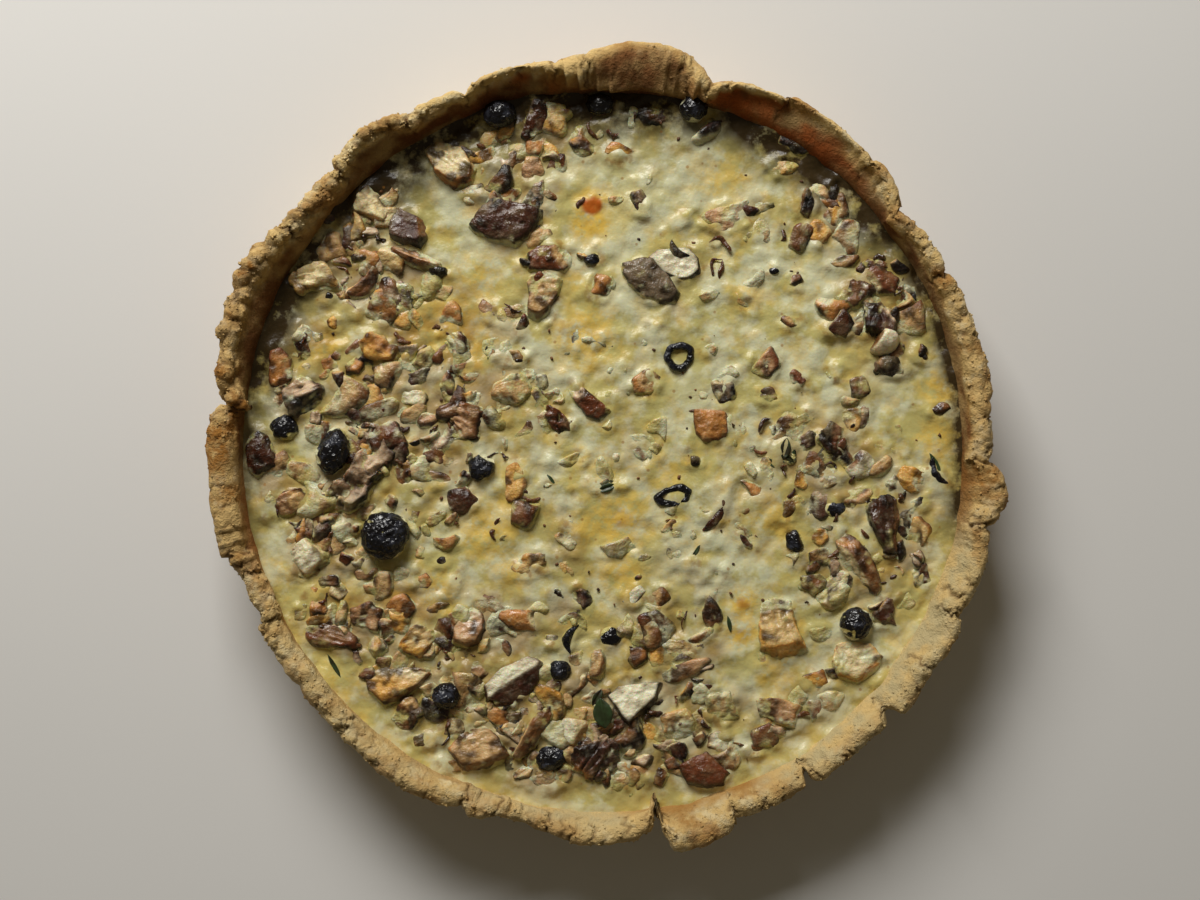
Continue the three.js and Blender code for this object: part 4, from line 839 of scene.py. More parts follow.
def crack_relief(angles, places, radius, count, rng):
    """Depth of the cracks that run across the lip: a dip with a bell's outline round each crack's own
    line, which wanders from side to side. One lies at each joint of the dough."""
    depth = np.zeros(radius.shape)
    columns = len(angles)
    loose = rng.uniform(-180, 180, count)
    lines = np.concatenate([DOUGH[:, 0], loose])
    deep = np.concatenate([np.full(len(DOUGH), 1.6), rng.uniform(0.3, 1.5, count)])
    wide = rng.uniform(0.3, 0.7, len(lines))
    first = np.concatenate([np.full(len(DOUGH), LIP_PLACES[0]), rng.uniform(5.2, 8.2, count)])
    reach = rng.uniform(1, 3.4, count)
    last = np.concatenate([np.full(len(DOUGH), LIP_PLACES[1]), first[len(DOUGH):] + reach])
    for k, line in enumerate(lines):
        near = (round((line - angles[0]) / 360 * columns) + np.arange(-18, 19)) % columns
        wander = 0.35 * np.sin(places * 2.3 + 5 * k) + 0.2 * np.sin(places * 5.1 + k)
        turn = np.mod(angles[near][:, None] - line - wander + 180, 360) - 180
        aside = np.radians(turn) * radius[near] / wide[k]
        along = ramp(places, first[k] - 0.4, first[k] + 0.3)
        along = along * (1 - ramp(places, last[k] - 0.3, last[k] + 0.4))
        depth[near] = np.maximum(depth[near], deep[k] * np.exp(-(aside**2)) * along)
    return depth


def across_grid(grid):
    """Unit vectors that stand on a grid of points that closes on itself in its first direction."""
    around = np.roll(grid, -1, axis=0) - np.roll(grid, 1, axis=0)
    along = np.gradient(grid, axis=1)
    normal = np.cross(around, along)
    return normal / np.maximum(np.linalg.norm(normal, axis=-1, keepdims=True), 1e-9)


def crust_surface(shape):
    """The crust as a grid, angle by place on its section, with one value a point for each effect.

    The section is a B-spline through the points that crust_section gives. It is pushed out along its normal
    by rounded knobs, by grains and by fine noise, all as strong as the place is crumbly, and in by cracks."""
    rng = np.random.default_rng(SEED)
    angles = CRUST_ANGLES
    steps = [np.arange(rows) / rows + k for k, rows in enumerate(SECTION_ROWS)]
    places = np.concatenate(steps + [[len(SECTION_ROWS)]])
    weights = spline_weights(places, len(SECTION_ROWS) + 1)
    radius, height = (side @ weights.T for side in crust_section(angles))
    crumbly = weights @ np.array(CRUMBLY)
    turn = np.radians(angles)[:, None]
    grid = np.stack([radius * np.cos(turn), radius * np.sin(turn), height], axis=-1)
    normal = across_grid(grid)
    frayed = sectors(angles, FRAYED)[:, None]
    toasted = sum(row[2] * sectors(angles, [(*row[:2], 1)]) for row in TOASTED)[:, None]
    smooth_wall = sectors(angles, WALL_TOAST_AND_SHADE)[:, None] * ramp(places, 9.4, 10.6)
    rough = crumbly * (0.55 + 0.45 * frayed) * (1 - 0.75 * smooth_wall)
    near, after = nodules(grid, shape.knob_size / MM)
    grain_near, grain_after = nodules(grid, shape.grain_size / MM, SEED + 5)
    knob = (0.15 + 0.85 * frayed) * (1 - 1.9 * near**2) + 0.7 * noise(grid, 5, SEED + 14)
    grain = 0.6 - 1.9 * grain_near**2 + noise(grid, 1.6, SEED + 15)
    hand = noise(grid, 15) * 0.7 + noise(grid, 7, SEED + 8) * 0.35
    fine = noise(grid, 1.1, SEED + 9)
    cracks = crack_relief(angles, places, radius, shape.crack_count, rng) * (0.4 + 0.6 * rough)
    side = ramp(places, 2, 3.4) * (1 - ramp(places, 12.4, 13.4))
    push = rough * (shape.knob_height / MM * knob + shape.grain_height / MM * grain + 0.14 * fine)
    push = push + side * (0.5 * hand + 0.16 * noise(grid, 2.6, SEED + 12)) - cracks
    grid = grid + normal * push[..., None]
    # Painted shade in the crevices between knobs and grains, and in the cracks
    crevice = 0.8 * (1 - ramp(after - near, 0.02, 0.2))
    crevice = crevice + 0.25 * (1 - ramp(grain_after - grain_near, 0.02, 0.3))
    # Where the lip slopes in, the wall's painted shade starts further up it
    wavering = places + 0.7 * noise(grid, 6, SEED + 22) + sectors(angles, SLOPED)[:, None] * 3.4
    return grid, normal, {
        "crevice": np.clip(0.5 * crevice * rough * np.minimum(frayed, 1) ** 2 + 0.6 * cracks, 0, 1),
        "wall": ramp(places, 10.1, 11.9) * (1 - ramp(places, 13, 13.5)) + 0 * radius,
        "dark_wall": sectors(angles, WALL_TOAST_AND_SHADE)[:, None] * ramp(wavering, 9.7, 10.9),
        "glow": sectors(angles, PAINTED_GLOW)[:, None] + 0 * radius,
        "flour": sectors(angles, FLOURY)[:, None] * (0.5 + 0.5 * ramp(places, 8.8, 9.8)),
        "toast": rough * (0.5 + 0.5 * noise(grid, 11, SEED + 21)) + toasted,
        "outside": (1 - ramp(places, 5, 6.2)) + 0 * radius,
    }


class TART_OT_crust(bpy.types.Operator):
    """Makes the hand-formed shortcrust shell"""

    bl_idname = "tart.crust"
    bl_label = "Crust"

    def execute(self, context):
        grid, _, values = crust_surface(context.scene.tart_shape)
        columns, rows = grid.shape[:2]
        inside = grid[:, 1:-1]
        points = np.vstack([inside.reshape(-1, 3), [[0, 0, 0]], [[0, 0, BASE_THICKNESS]]])
        index = np.arange(columns * (rows - 2)).reshape(columns, rows - 2)
        after = np.roll(index, -1, axis=0)
        base, floor = index.size, index.size + 1
        quads = grid_faces(index, wrap=True)[:, ::-1]
        fans = [
            np.column_stack([after[:, 0], index[:, 0], np.full(columns, base)]),
            np.column_stack([index[:, -1], after[:, -1], np.full(columns, floor)]),
        ]
        flat = {key: np.append(value[:, 1:-1].ravel(), [0, 0]) for key, value in values.items()}
        add_piece("crust_shell", points, [quads, *fans], "crust", crust_material(), ["crust"], **flat)
        return {"FINISHED"}


class TART_OT_crumbs(bpy.types.Operator):
    """Makes the crumbs that stick to the rim"""

    bl_idname = "tart.crumbs"
    bl_label = "Crumbs"

    sunk = 0.2  # how deep a crumb sits, as a share of its radius
    crevice_share = 0.3  # how much of the crust's painted crevice shade a crumb shows

    def execute(self, context):
        shape = context.scene.tart_shape
        rng = np.random.default_rng(SEED + 1)
        grid, normal, values = crust_surface(shape)
        count = shape.crumb_count
        chance = 0.25 + sectors(CRUST_ANGLES, FRAYED)
        columns = rng.choice(CRUST_COLUMNS, count, p=chance / chance.sum())
        rows = rng.integers(sum(SECTION_ROWS[:5]), sum(SECTION_ROWS[:10]), count)
        radii = shape.crumb_radius / MM * (0.28 + 0.72 * rng.random(count) ** 2.2)
        directions, faces = ball(2)
        lumpy = 1 + 0.28 * rng.standard_normal((count, len(directions), 1))
        squash = 1 - 0.35 * rng.random((count, 1, 3))
        middles = grid[columns, rows] - normal[columns, rows] * radii[:, None] * self.sunk
        balls = directions * np.clip(lumpy, 0.6, 1.5) * squash * radii[:, None, None]
        points, faces = repeated(middles[:, None] + balls, faces)
        values["crevice"] = values["crevice"] * self.crevice_share
        flat = {key: np.repeat(value[columns, rows], len(directions)) for key, value in values.items()}
        add_piece("crust_crumbs", points, [faces], "crust", crust_material(), **flat)
        return {"FINISHED"}


# The toppings

class Heights:
    """A field of heights over a square grid, read between its points."""

    def __init__(self, values, reach):
        self.values = values
        self.reach = reach

    def __call__(self, x, y):
        count = len(self.values) - 1
        across = np.clip((x / self.reach + 1) / 2 * count, 0, count - 1e-6)
        along = np.clip((y / self.reach + 1) / 2 * count, 0, count - 1e-6)
        i, j = across.astype(int), along.astype(int)
        u, v = across - i, along - j
        low = self.values[i, j] * (1 - u) + self.values[i + 1, j] * u
        high = self.values[i, j + 1] * (1 - u) + self.values[i + 1, j + 1] * u
        return low * (1 - v) + high * v


@functools.lru_cache
def packed_top():
    """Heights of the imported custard's top without its fused bits: a mean of its corners, the nearest
    counting most, taken again without those that stand above the first one."""
    reach, side, spread, bit_height = 135, 55, 7, 0.3
    points = node_points("custard")
    points = points[points[:, 2] > FILL_LEVEL - 3]
    steps = np.linspace(-reach, reach, side)
    x, y = np.meshgrid(steps, steps, indexing="ij")
    near = (x[..., None] - points[:, 0]) ** 2 + (y[..., None] - points[:, 1]) ** 2
    weights = np.exp(-near / (2 * spread**2)) + 1e-12
    means = Heights((weights * points[:, 2]).sum(-1) / weights.sum(-1), reach)
    weights = weights * (points[:, 2] < means(points[:, 0], points[:, 1]) + bit_height)
    return Heights((weights * points[:, 2]).sum(-1) / weights.sum(-1), reach)


def level_at(x, y):
    """How high the custard lies at each place."""
    return packed_top()(x, y)


def look_of(words):
    """A look's character and the tones of its body, sides and top; a dash stands for none."""
    return [None if word == "-" else word for word in words.split()]


def node_size(name, turn):
    """Middle, half length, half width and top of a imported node, its length lying at that angle."""
    points = turned(node_points(name), -turn)
    low, high = points.min(0), points.max(0)
    middle = turned(np.array([(low + high) / 2]), turn)[0]
    return middle[:2], (high - low)[:2] / 2, high[2]


def blended_tones(shares, names):
    """The mean of the named tones, each counting by its share."""
    return shares @ np.array([tone_of(name) for name in names])


def face_normals(faces):
    """The direction that each face looks in, from its azimuth and tilt."""
    azimuth, tilt = np.radians([[face[0], face[1]] for face in faces] or np.empty((0, 2))).T
    return np.column_stack([np.cos(tilt) * np.cos(azimuth), np.cos(tilt) * np.sin(azimuth), np.sin(tilt)])


def cut_faces(rng, turn, side, top, others, toward=None):
    """Directions, distances and tones of the flat cuts of a chunk, in its own frame. Its four or five
    sides and its top lean together to one side, as a block does that has sunk in at a corner. The side
    is toward an angle if that is given, and else any."""
    angles = []
    count = rng.integers(4, 6)
    azimuths = 360 / count * (np.arange(count) + rng.uniform(-0.16, 0.16, count)) + 20
    if side:
        angles += [(azimuth, rng.uniform(-2, 12), rng.uniform(0.8, 0.97), side) for azimuth in azimuths]
    if top:
        angles.append((0, 90, rng.uniform(0.6, 0.78), top))
    axis, by = rng.uniform(0, 2 * math.pi), math.radians(rng.uniform(8, 26))
    if toward is not None:
        axis, by = math.radians(toward + 90), by * 0.6
    normals = face_normals(angles)
    across = np.array([math.cos(axis), math.sin(axis), 0])
    turned_part = np.cross(across, normals) * math.sin(by) + normals * math.cos(by)
    normals = turned_part + np.outer(normals @ across, across) * (1 - math.cos(by))
    others = [(azimuth - turn, tilt, distance, name) for azimuth, tilt, distance, name in others]
    normals = np.vstack([normals, face_normals(others)])
    faces = angles + others
    return normals, np.array([face[2] for face in faces]), [face[3] for face in faces]


def outline_radius(directions, corners, reach):
    """How far an outline lies from its middle in each direction, as a share of its reach: the crossing
    of the direction with the outline's side there."""
    corners = np.array(corners) / reach
    angles = np.arctan2(corners[:, 1], corners[:, 0])
    order = np.argsort(angles)
    corners, angles = corners[order], angles[order]
    heading = np.arctan2(directions[:, 1], directions[:, 0])
    after = np.searchsorted(angles, heading) % len(angles)
    first, last = corners[after - 1], corners[after]
    along = last - first
    flat = np.column_stack([np.cos(heading), np.sin(heading)])
    crossing = first[:, 0] * along[:, 1] - first[:, 1] * along[:, 0]
    return np.clip(crossing / (flat[:, 0] * along[:, 1] - flat[:, 1] * along[:, 0]), 0.05, 1.5)


def cut_ball(rng, size, turn, look, others, fineness, outline):
    """A ball cut by flat faces, or by an outline that narrows upwards, scaled to its half sizes.

    In each direction its radius is (sum of t to the power p) to the power -1/p, where p is how sharp the
    cuts are, and t is 0.85 for the ball, direction.normal/distance for a face, and the distance from the
    upright through its middle as a share of the outline's. With an outline, a flat or domed lid takes the
    ball's place. Returns points, faces, each part's share of the sum, and the parts' tones."""
    character, body, side, top = look
    directions, faces = ball(fineness)
    outlined = outline is not None
    normals, distances, names = cut_faces(
        rng, turn, None if outlined else side, top, others, OUTLINE_LEAN if outlined else None)
    normals = normals * size
    normals /= np.linalg.norm(normals, axis=1, keepdims=True)
    near = np.clip(directions @ normals.T, 0, None) / np.maximum(distances, 0.05)
    rounded = np.full(len(directions), 0.85)
    if outlined:
        aside = np.linalg.norm(directions[:, :2], axis=1) / outline_radius(directions, outline, size[0])
        near = np.column_stack([near, np.clip(aside + 0.12 * directions[:, 2], 0, None)])
        names = [*names, side or body]
        rounded = 0.66 + 0 * aside if top else np.hypot(0.84 * aside, directions[:, 2])
    sharpness = CHARACTERS[character].sharpness
    terms = np.column_stack([rounded, near]) ** sharpness
    total = terms.sum(axis=1, keepdims=True)
    radius = total ** (-1 / sharpness)
    if not outlined:
        radius = radius / np.abs(directions * radius)[:, :2].max(axis=0).mean()
    return directions * np.minimum(radius, 1.35) * size, faces, terms / total, [body, *names]


def chunk_relief(spot, half, character, seed, grain, fan):
    """How far a chunk's surface is pushed out at each spot, and how deep its folds are there, which the
    material darkens as painted shade: ridged wrinkles, fibres along the grain or gills that fan out from
    one end, lumps, and creases pushed in."""
    thin = min(half)
    small = min(1, thin / 5)
    along = turned(spot, -grain)
    ridged = 1 - 2 * np.abs(noise(along * (0.7, 1, 1), 2.2)) ** 0.7
    crease = bell(noise(along * (0.6, 1, 1), 4.6, seed), 0.11)
    if fan:
        apart = spot - spot.mean(0)
        apart[:, 0] += half[0] * 1.2
        angle = np.arctan2(apart[:, 1], apart[:, 0])
        away = np.hypot(apart[:, 0], apart[:, 1])
        stretched = np.column_stack([away / 9, angle * fan, 0.3 * apart[:, 2]])
    else:
        stretched = along / (8, 1.15, 1.15)
    strands = noise(stretched, 1)
    lumpy = 0.55 * noise(spot, min(5, 1.1 * thin)) + 0.45 * noise(spot, min(2.8, 0.8 * thin), seed + 2)
    push = small * (character.wrinkles * ridged + character.fibres * strands + character.lumps * lumpy)
    push += 0.2 * noise(spot, 1.4) + 0.25 * small * noise(spot, 2.6) - small * character.creases * crease
    fold = crease * character.creases + ramp(-ridged, 0, 1) * character.wrinkles
    return push, np.clip(fold + ramp(-strands, 0.1, 0.6) * character.fibres, 0, 1)


def cooked_tones(tones, points, share_up, seed, bare, glossy):
    """Tones darkened in cooked blotches and, as painted shade, towards the foot, and paler between the
    blotches.
    """
    cooked = noise(points, 4, seed + 8) * 0.6 + noise(points, 1.9, seed + 9) * 0.4
    # Cooked blotches, and painted shade towards the foot
    dark = (0.85 * ramp(cooked, -0.05, 0.45) + 0.6 * (1 - ramp(share_up, 0.1, 0.8))) * (1 + 1.6 * bare)
    tones = tones * (1 - np.minimum(dark, 0.82))[:, None] ** WARM_SHADE
    pale = (0.08 if glossy else 0.2) * ramp(-cooked, 0.05, 0.45)
    return tones + pale[:, None] * (np.array(tone_of("cream")) - tones)


def chunk(middle, half, turn, top, look, others, seed, fineness, bend=0, fan=0, outline=None, grain=0,
          cover=0):
    """A piece of mushroom or olive: a cut ball that is bent, made crooked by noise and pushed out by its
    relief, leans, and lies under custard at its foot and where the character or cover says so.

    Returns points, faces and values; tone is each face's colour by its share."""
    rng = np.random.default_rng(seed)
    look = look_of(look)
    character, body = CHARACTERS[look[0]], look[1]
    level = level_at(middle[0], middle[1])
    low = level - SUNK
    size = np.array([half[0], half[1], (top - low) / 2])
    points, faces, shares, names = cut_ball(rng, size, turn, look, others, fineness, outline)
    points[:, 1] += bend * half[1] * (2 * (points[:, 0] / half[0]) ** 2 - 0.6)
    spot = points + rng.uniform(-500, 500, 3)
    crooked = np.stack([noise(spot, 6.5, seed + k) for k in (1, 2, 3)], axis=-1)
    points = points + character.crook * min(1.4, 0.17 * min(half)) * crooked * (1, 1, 0.6)
    out = ball(fineness)[0] / size
    out /= np.linalg.norm(out, axis=1, keepdims=True)
    push, fold = chunk_relief(spot, half, character, seed, grain, fan)
    points = turned(points + out * push[:, None], turn)
    if body != "charcoal":
        points[:, :2] += points[:, 2:] * LEAN
    points += (*middle, (top + low) / 2)
    share_up = (points[:, 2] - level_at(points[:, 0], points[:, 1])) / max(top - level, 1)
    blotches = noise(points, 4.4, seed + 3) * 0.7 + noise(points, 1.6, seed + 4) * 0.3
    bare = min(character.coating, 0)
    film = 1 - ramp(share_up + 0.75 * blotches * (1 + bare), 0.1, 0.65 + bare + 0.5 * cover)
    coated = ramp(blotches + 1.3 * (character.coating + cover), 0.3, 1.2)
    # Painted shade round the foot, in ragged patches
    foot = (1 - ramp(share_up, 0.2, 0.7)) * ramp(noise(points, 5, seed + 6), -0.1, 0.5)
    glossy = body in GLOSSY
    tones = blended_tones(shares, names)
    if body != "charcoal":
        tones = cooked_tones(tones, points, share_up, seed, bare, glossy)
    # The edge value is darker cut edges, and painted shade at the foot
    values = {
        "tone": tones, "gloss": (1 if glossy else 0.4) * shares[:, 0],
        "film": np.maximum(film, 0.9 * coated), "fold": fold,
        "edge": np.maximum(0.5 * ramp(1 - shares.max(axis=1), 0.3, 0.6), foot),
    }
    return points, faces, values


def add_chunks(name, slot, points, faces, values, replaces=()):
    """Adds chunks as one piece, of olive or mushroom as its slot says."""
    material = olive_material() if slot == "olive" else mushroom_material()
    add_piece(name, points, [faces], slot, material, replaces, **values)


class TART_OT_toppings(bpy.types.Operator):
    """Makes the larger pieces of mushroom and olive, one for each packed one"""

    bl_idname = "tart.toppings"
    bl_label = "Mushroom and Olives"

    def execute(self, context):
        for name, (turn, look, *others) in TOPPINGS.items():
            kind = name.rsplit("_", 1)[0]
            seed = SEED + sum(name.encode())
            middle, half, top = node_size(name, turn)
            if name in OUTLINES:
                corners = np.array(OUTLINES[name])
                middle = corners.mean(axis=0)
                outline = corners - middle
                half = np.full(2, np.linalg.norm(outline, axis=1).max())
                part = chunk(middle, half, 0, top, look, others, seed, OUTLINED_CELLS,
                             outline=outline, grain=turn)
            else:
                part = chunk(middle, half, turn, top, look, others, seed, TOPPING_CELLS,
                             fan=GILL_FAN if kind == "gill" else 0)
            add_chunks(name + "_look", SLOT_OF[kind], *part, replaces=[name])
        return {"FINISHED"}


def plain_values(tone, gloss, film):
    """A chunk's values where it has one tone and one gloss all over, and no folds."""
    none = np.zeros(len(film))
    return {
        "tone": np.tile(tone, (len(film), 1)), "gloss": none + gloss, "film": film, "edge": none,
        "fold": none}


def olive_ring(x, y, half_length, half_width, thickness, turn, rise):
    """A slice of olive round its hole: a ring whose section is an oval, wavy all round."""
    columns, rows, half_height = 96, 20, 1.6
    around, across = np.meshgrid(np.linspace(0, 2 * math.pi, columns, endpoint=False),
                                 np.linspace(0, 2 * math.pi, rows, endpoint=False), indexing="ij")
    wavy = 1 + 0.06 * np.sin(3 * around + x) + 0.03 * np.sin(7 * around)
    outward = np.cos(across) * thickness / 2
    level = level_at(x, y)
    points = np.stack([
        (half_length - thickness / 2 + outward) * np.cos(around) * wavy,
        (half_width - thickness / 2 + outward) * np.sin(around) * wavy,
        level + rise - 1 + half_height * np.sin(across) + 0.3 * np.sin(2 * around)], axis=-1).reshape(-1, 3)
    points = turned(points, turn) + (x, y, 0)
    points += 0.18 * noise(points, 1.6)[:, None]
    film = 1 - ramp(points[:, 2] - level + 0.4 * noise(points, 2.2), -0.2, 0.4)
    index = np.arange(columns * rows).reshape(columns, rows)
    return points, grid_faces(closed(index), wrap=True), plain_values(tone_of("charcoal"), 1, film)


class TART_OT_rings(bpy.types.Operator):
    """Makes the rings cut from an olive"""

    bl_idname = "tart.rings"
    bl_label = "Olive Rings"

    def execute(self, context):
        packed, *small = [olive_ring(*row) for row in OLIVE_RINGS]
        add_chunks("ring_01_look", "olive", *packed, replaces=["ring_01"])
        add_chunks("small_rings", "olive", *joined(small))
        return {"FINISHED"}


def crowd(rng, column, share=1):
    """Random places in the crowded parts of the filling, as many in each as its row says, and the row that
    each belongs to."""
    rows = np.repeat(CROWDED, np.round(CROWDED[:, column] * share).astype(int), axis=0)
    places = rows[:, :2] + rng.normal(0, 0.75, (len(rows), 2)) * rows[:, 2:3]
    away = np.hypot(*places.T)
    return places * np.minimum(1, CROWD_REACH / away)[:, None], rows


def bit_footprints(bits):
    """Middle, half sizes and angle of each small bit."""
    return np.array([(x, y, length / 2, width / 2, turn) for x, y, length, width, turn, *_ in bits])


def placed_footprints():
    """The same of every topping and every bit that has a place of its own."""
    rows = []
    for name, (turn, *_) in TOPPINGS.items():
        middle, half, _ = node_size(name, turn)
        rows.append((*middle, *half, turn))
    return np.vstack([rows, bit_footprints(BITS)])


def shares_out(x, y, rows):
    """How far each place lies out from each footprint's middle, as a share of its half sizes."""
    turn = np.radians(rows[:, 4])
    apart_x, apart_y = x[:, None] - rows[:, 0], y[:, None] - rows[:, 1]
    along = (apart_x * np.cos(turn) + apart_y * np.sin(turn)) / rows[:, 2]
    aside = (apart_y * np.cos(turn) - apart_x * np.sin(turn)) / rows[:, 3]
    return np.hypot(along, aside)


@functools.lru_cache
def fill_bits():
    """More rows like those of BITS, for the bits that are too small or too hidden to be placed one by one,
    each with how much custard covers it."""
    rng = np.random.default_rng(SEED + 50)
    sunk = np.random.default_rng(SEED + 51)
    rows = []
    places, crowds = crowd(rng, 3, FILL_SHARE)
    free = shares_out(*places.T, placed_footprints()).min(axis=1) > 0.8
    free &= spots(*places.T, BROWNED[:, :3] * (1, 1, 1.2), BROWNED[:, 4]) < 0.3
    for (x, y), cover in zip(places[free], crowds[free, 5]):
        length = rng.choice([rng.uniform(6, 10), rng.uniform(11, 19)]) * (1 - 0.4 * cover)
        width = length * rng.choice([rng.uniform(0.32, 0.5), rng.uniform(0.55, 0.9)])
        look = FILL_LOOKS[rng.integers(len(FILL_LOOKS))]
        bend = rng.choice([0, 0.15, 0.5])
        proud = rng.choice([rng.uniform(1.0, 1.9), rng.uniform(1.7, 3.8)]) * (1 - 0.9 * cover)
        turn = rng.uniform(0, 180)
        rows.append((x, y, length, width, turn, proud, look, bend, cover + sunk.uniform(0, 0.35)))
    return rows


class TART_OT_bits(bpy.types.Operator):
    """Makes the small bits of mushroom and olive, one piece for each kind"""

    bl_idname = "tart.bits"
    bl_label = "Small Bits"

    def execute(self, context):
        rng = np.random.default_rng(SEED + 70)
        kinds = {}
        for k, (x, y, length, width, turn, proud, look, *rest) in enumerate(BITS + fill_bits()):
            body = look_of(look)[1]
            bend, cover = (*rest, 0, 0)[:2]
            facing = (rng.uniform(70, 170), rng.uniform(20, 60), rng.uniform(0.4, 0.75),
                      FLESH[rng.integers(len(FLESH))])
            pale_face = [facing] if body != "charcoal" and rng.random() < 0.6 else []
            part = chunk(np.array([x, y]), np.array([length, width]) / 2, turn,
                         level_at(x, y) + proud, look, pale_face, SEED + 7 * k,
                         BIT_CELLS if k < len(BITS) else FILL_CELLS, bend, cover=cover)
            kinds.setdefault(SLOT_OF[body], []).append(part)
        for slot, parts in sorted(kinds.items()):
            add_chunks("bits_" + slot, slot, *joined(parts))
        return {"FINISHED"}


def strand(x, y, rng):
    """A shrivelled strand of skin or gill: a flattened tube along an arc that tapers to both ends."""
    length, width, bow = rng.uniform(3, 9), rng.uniform(0.35, 1.0), rng.uniform(-0.3, 0.3)
    along = np.linspace(-1, 1, 25)[:, None]
    around = np.arange(8)[None] * math.pi / 4
    thick = width * (1 - np.abs(along) ** 3) ** 0.5 + 0.02
    wave = rng.uniform(0.2, 0.9)
    points = np.stack([
        along * length / 2 + 0 * around,
        bow * length * (along**2 - 0.4) + thick * np.cos(around) + wave * np.sin(3 * along + x),
        0.7 * thick * np.sin(around) + wave * np.cos(4 * along + y)], axis=-1).reshape(-1, 3)
    points = turned(points + 0.5 * noise(points + x, 1.6)[:, None], rng.uniform(0, 180))
    level = level_at(x, y)
    points += (x, y, level + 0.5 + rng.uniform(0, 1.1))
    index = np.arange(len(points)).reshape(-1, 8)
    rings = np.vstack([index[0][::-1], index[-1]])
    lids = np.vstack([rings[:, [0, 1, 2, 3]], rings[:, [0, 3, 4, 7]], rings[:, [4, 5, 6, 7]]])
    colour = blended_tones(rng.dirichlet([1.2, 1, 0.5]), ["umber", "plum", "brown"])
    film = 1 - ramp(points[:, 2] - level + 0.3 * noise(points, 2), 0.1, 0.5)
    return points, np.vstack([grid_faces(closed(index)), lids]), plain_values(colour, 0.6, film)


class TART_OT_strands(bpy.types.Operator):
    """Makes the dark shrivelled strands among the mushrooms"""

    bl_idname = "tart.strands"
    bl_label = "Strands"

    def execute(self, context):
        rng = np.random.default_rng(SEED + 60)
        places, _ = crowd(rng, 4, 0.5)
        add_chunks("strands", "mushroom_dark", *joined([strand(x, y, rng) for x, y in places]))
        return {"FINISHED"}


# The custard

def near_toppings(x, y):
    """How strongly the custard climbs what stands in it, as a narrow bell round its outline, and how much
    it is stained and shaded by it, as wider bells that add up."""
    climb_width, stain_width, full_size = 1.7, 5, 45
    rise = np.zeros_like(x)
    stain = np.zeros_like(x)
    placed_rows = placed_footprints()
    rows = np.vstack([placed_rows, bit_footprints(fill_bits())])
    strengths = np.where(np.arange(len(rows)) < len(placed_rows), 1.1, 0.6)
    for row, strength in zip(rows, strengths):
        half = row[2:4]
        reach = half.max() + 12
        near = np.flatnonzero((np.abs(x - row[0]) < reach) & (np.abs(y - row[1]) < reach))
        out = shares_out(x[near], y[near], row[None])[:, 0]
        distance = np.clip((out - 0.9) * half.min(), 0, None)
        rise[near] = np.maximum(rise[near], strength * bell(distance, climb_width))
        stain[near] += bell(distance, stain_width) * min(1, half.prod() / full_size)
    return rise, stain


def disc(side):
    """A round grid: a square one's points drawn in to a circle of radius 1, x = u sqrt(1 - v v / 2)."""
    steps = np.linspace(-1, 1, side)
    u, v = np.meshgrid(steps, steps, indexing="ij")
    return u * np.sqrt(1 - v * v / 2), v * np.sqrt(1 - u * u / 2)


def spots(x, y, rows, strengths):
    """Soft round patches with ragged edges: bells round the rows' middles, the strongest counting."""
    ragged = 1 + 0.45 * noise(np.stack([x, y, 0 * x], axis=-1), 3.6, SEED + 31)
    total = np.zeros_like(x)
    for (middle_x, middle_y, radius), strength in zip(rows, strengths):
        near = ((x - middle_x) ** 2 + (y - middle_y) ** 2) / radius**2 * ragged
        total = np.maximum(total, strength * np.exp(-2 * near**1.4))
    return total


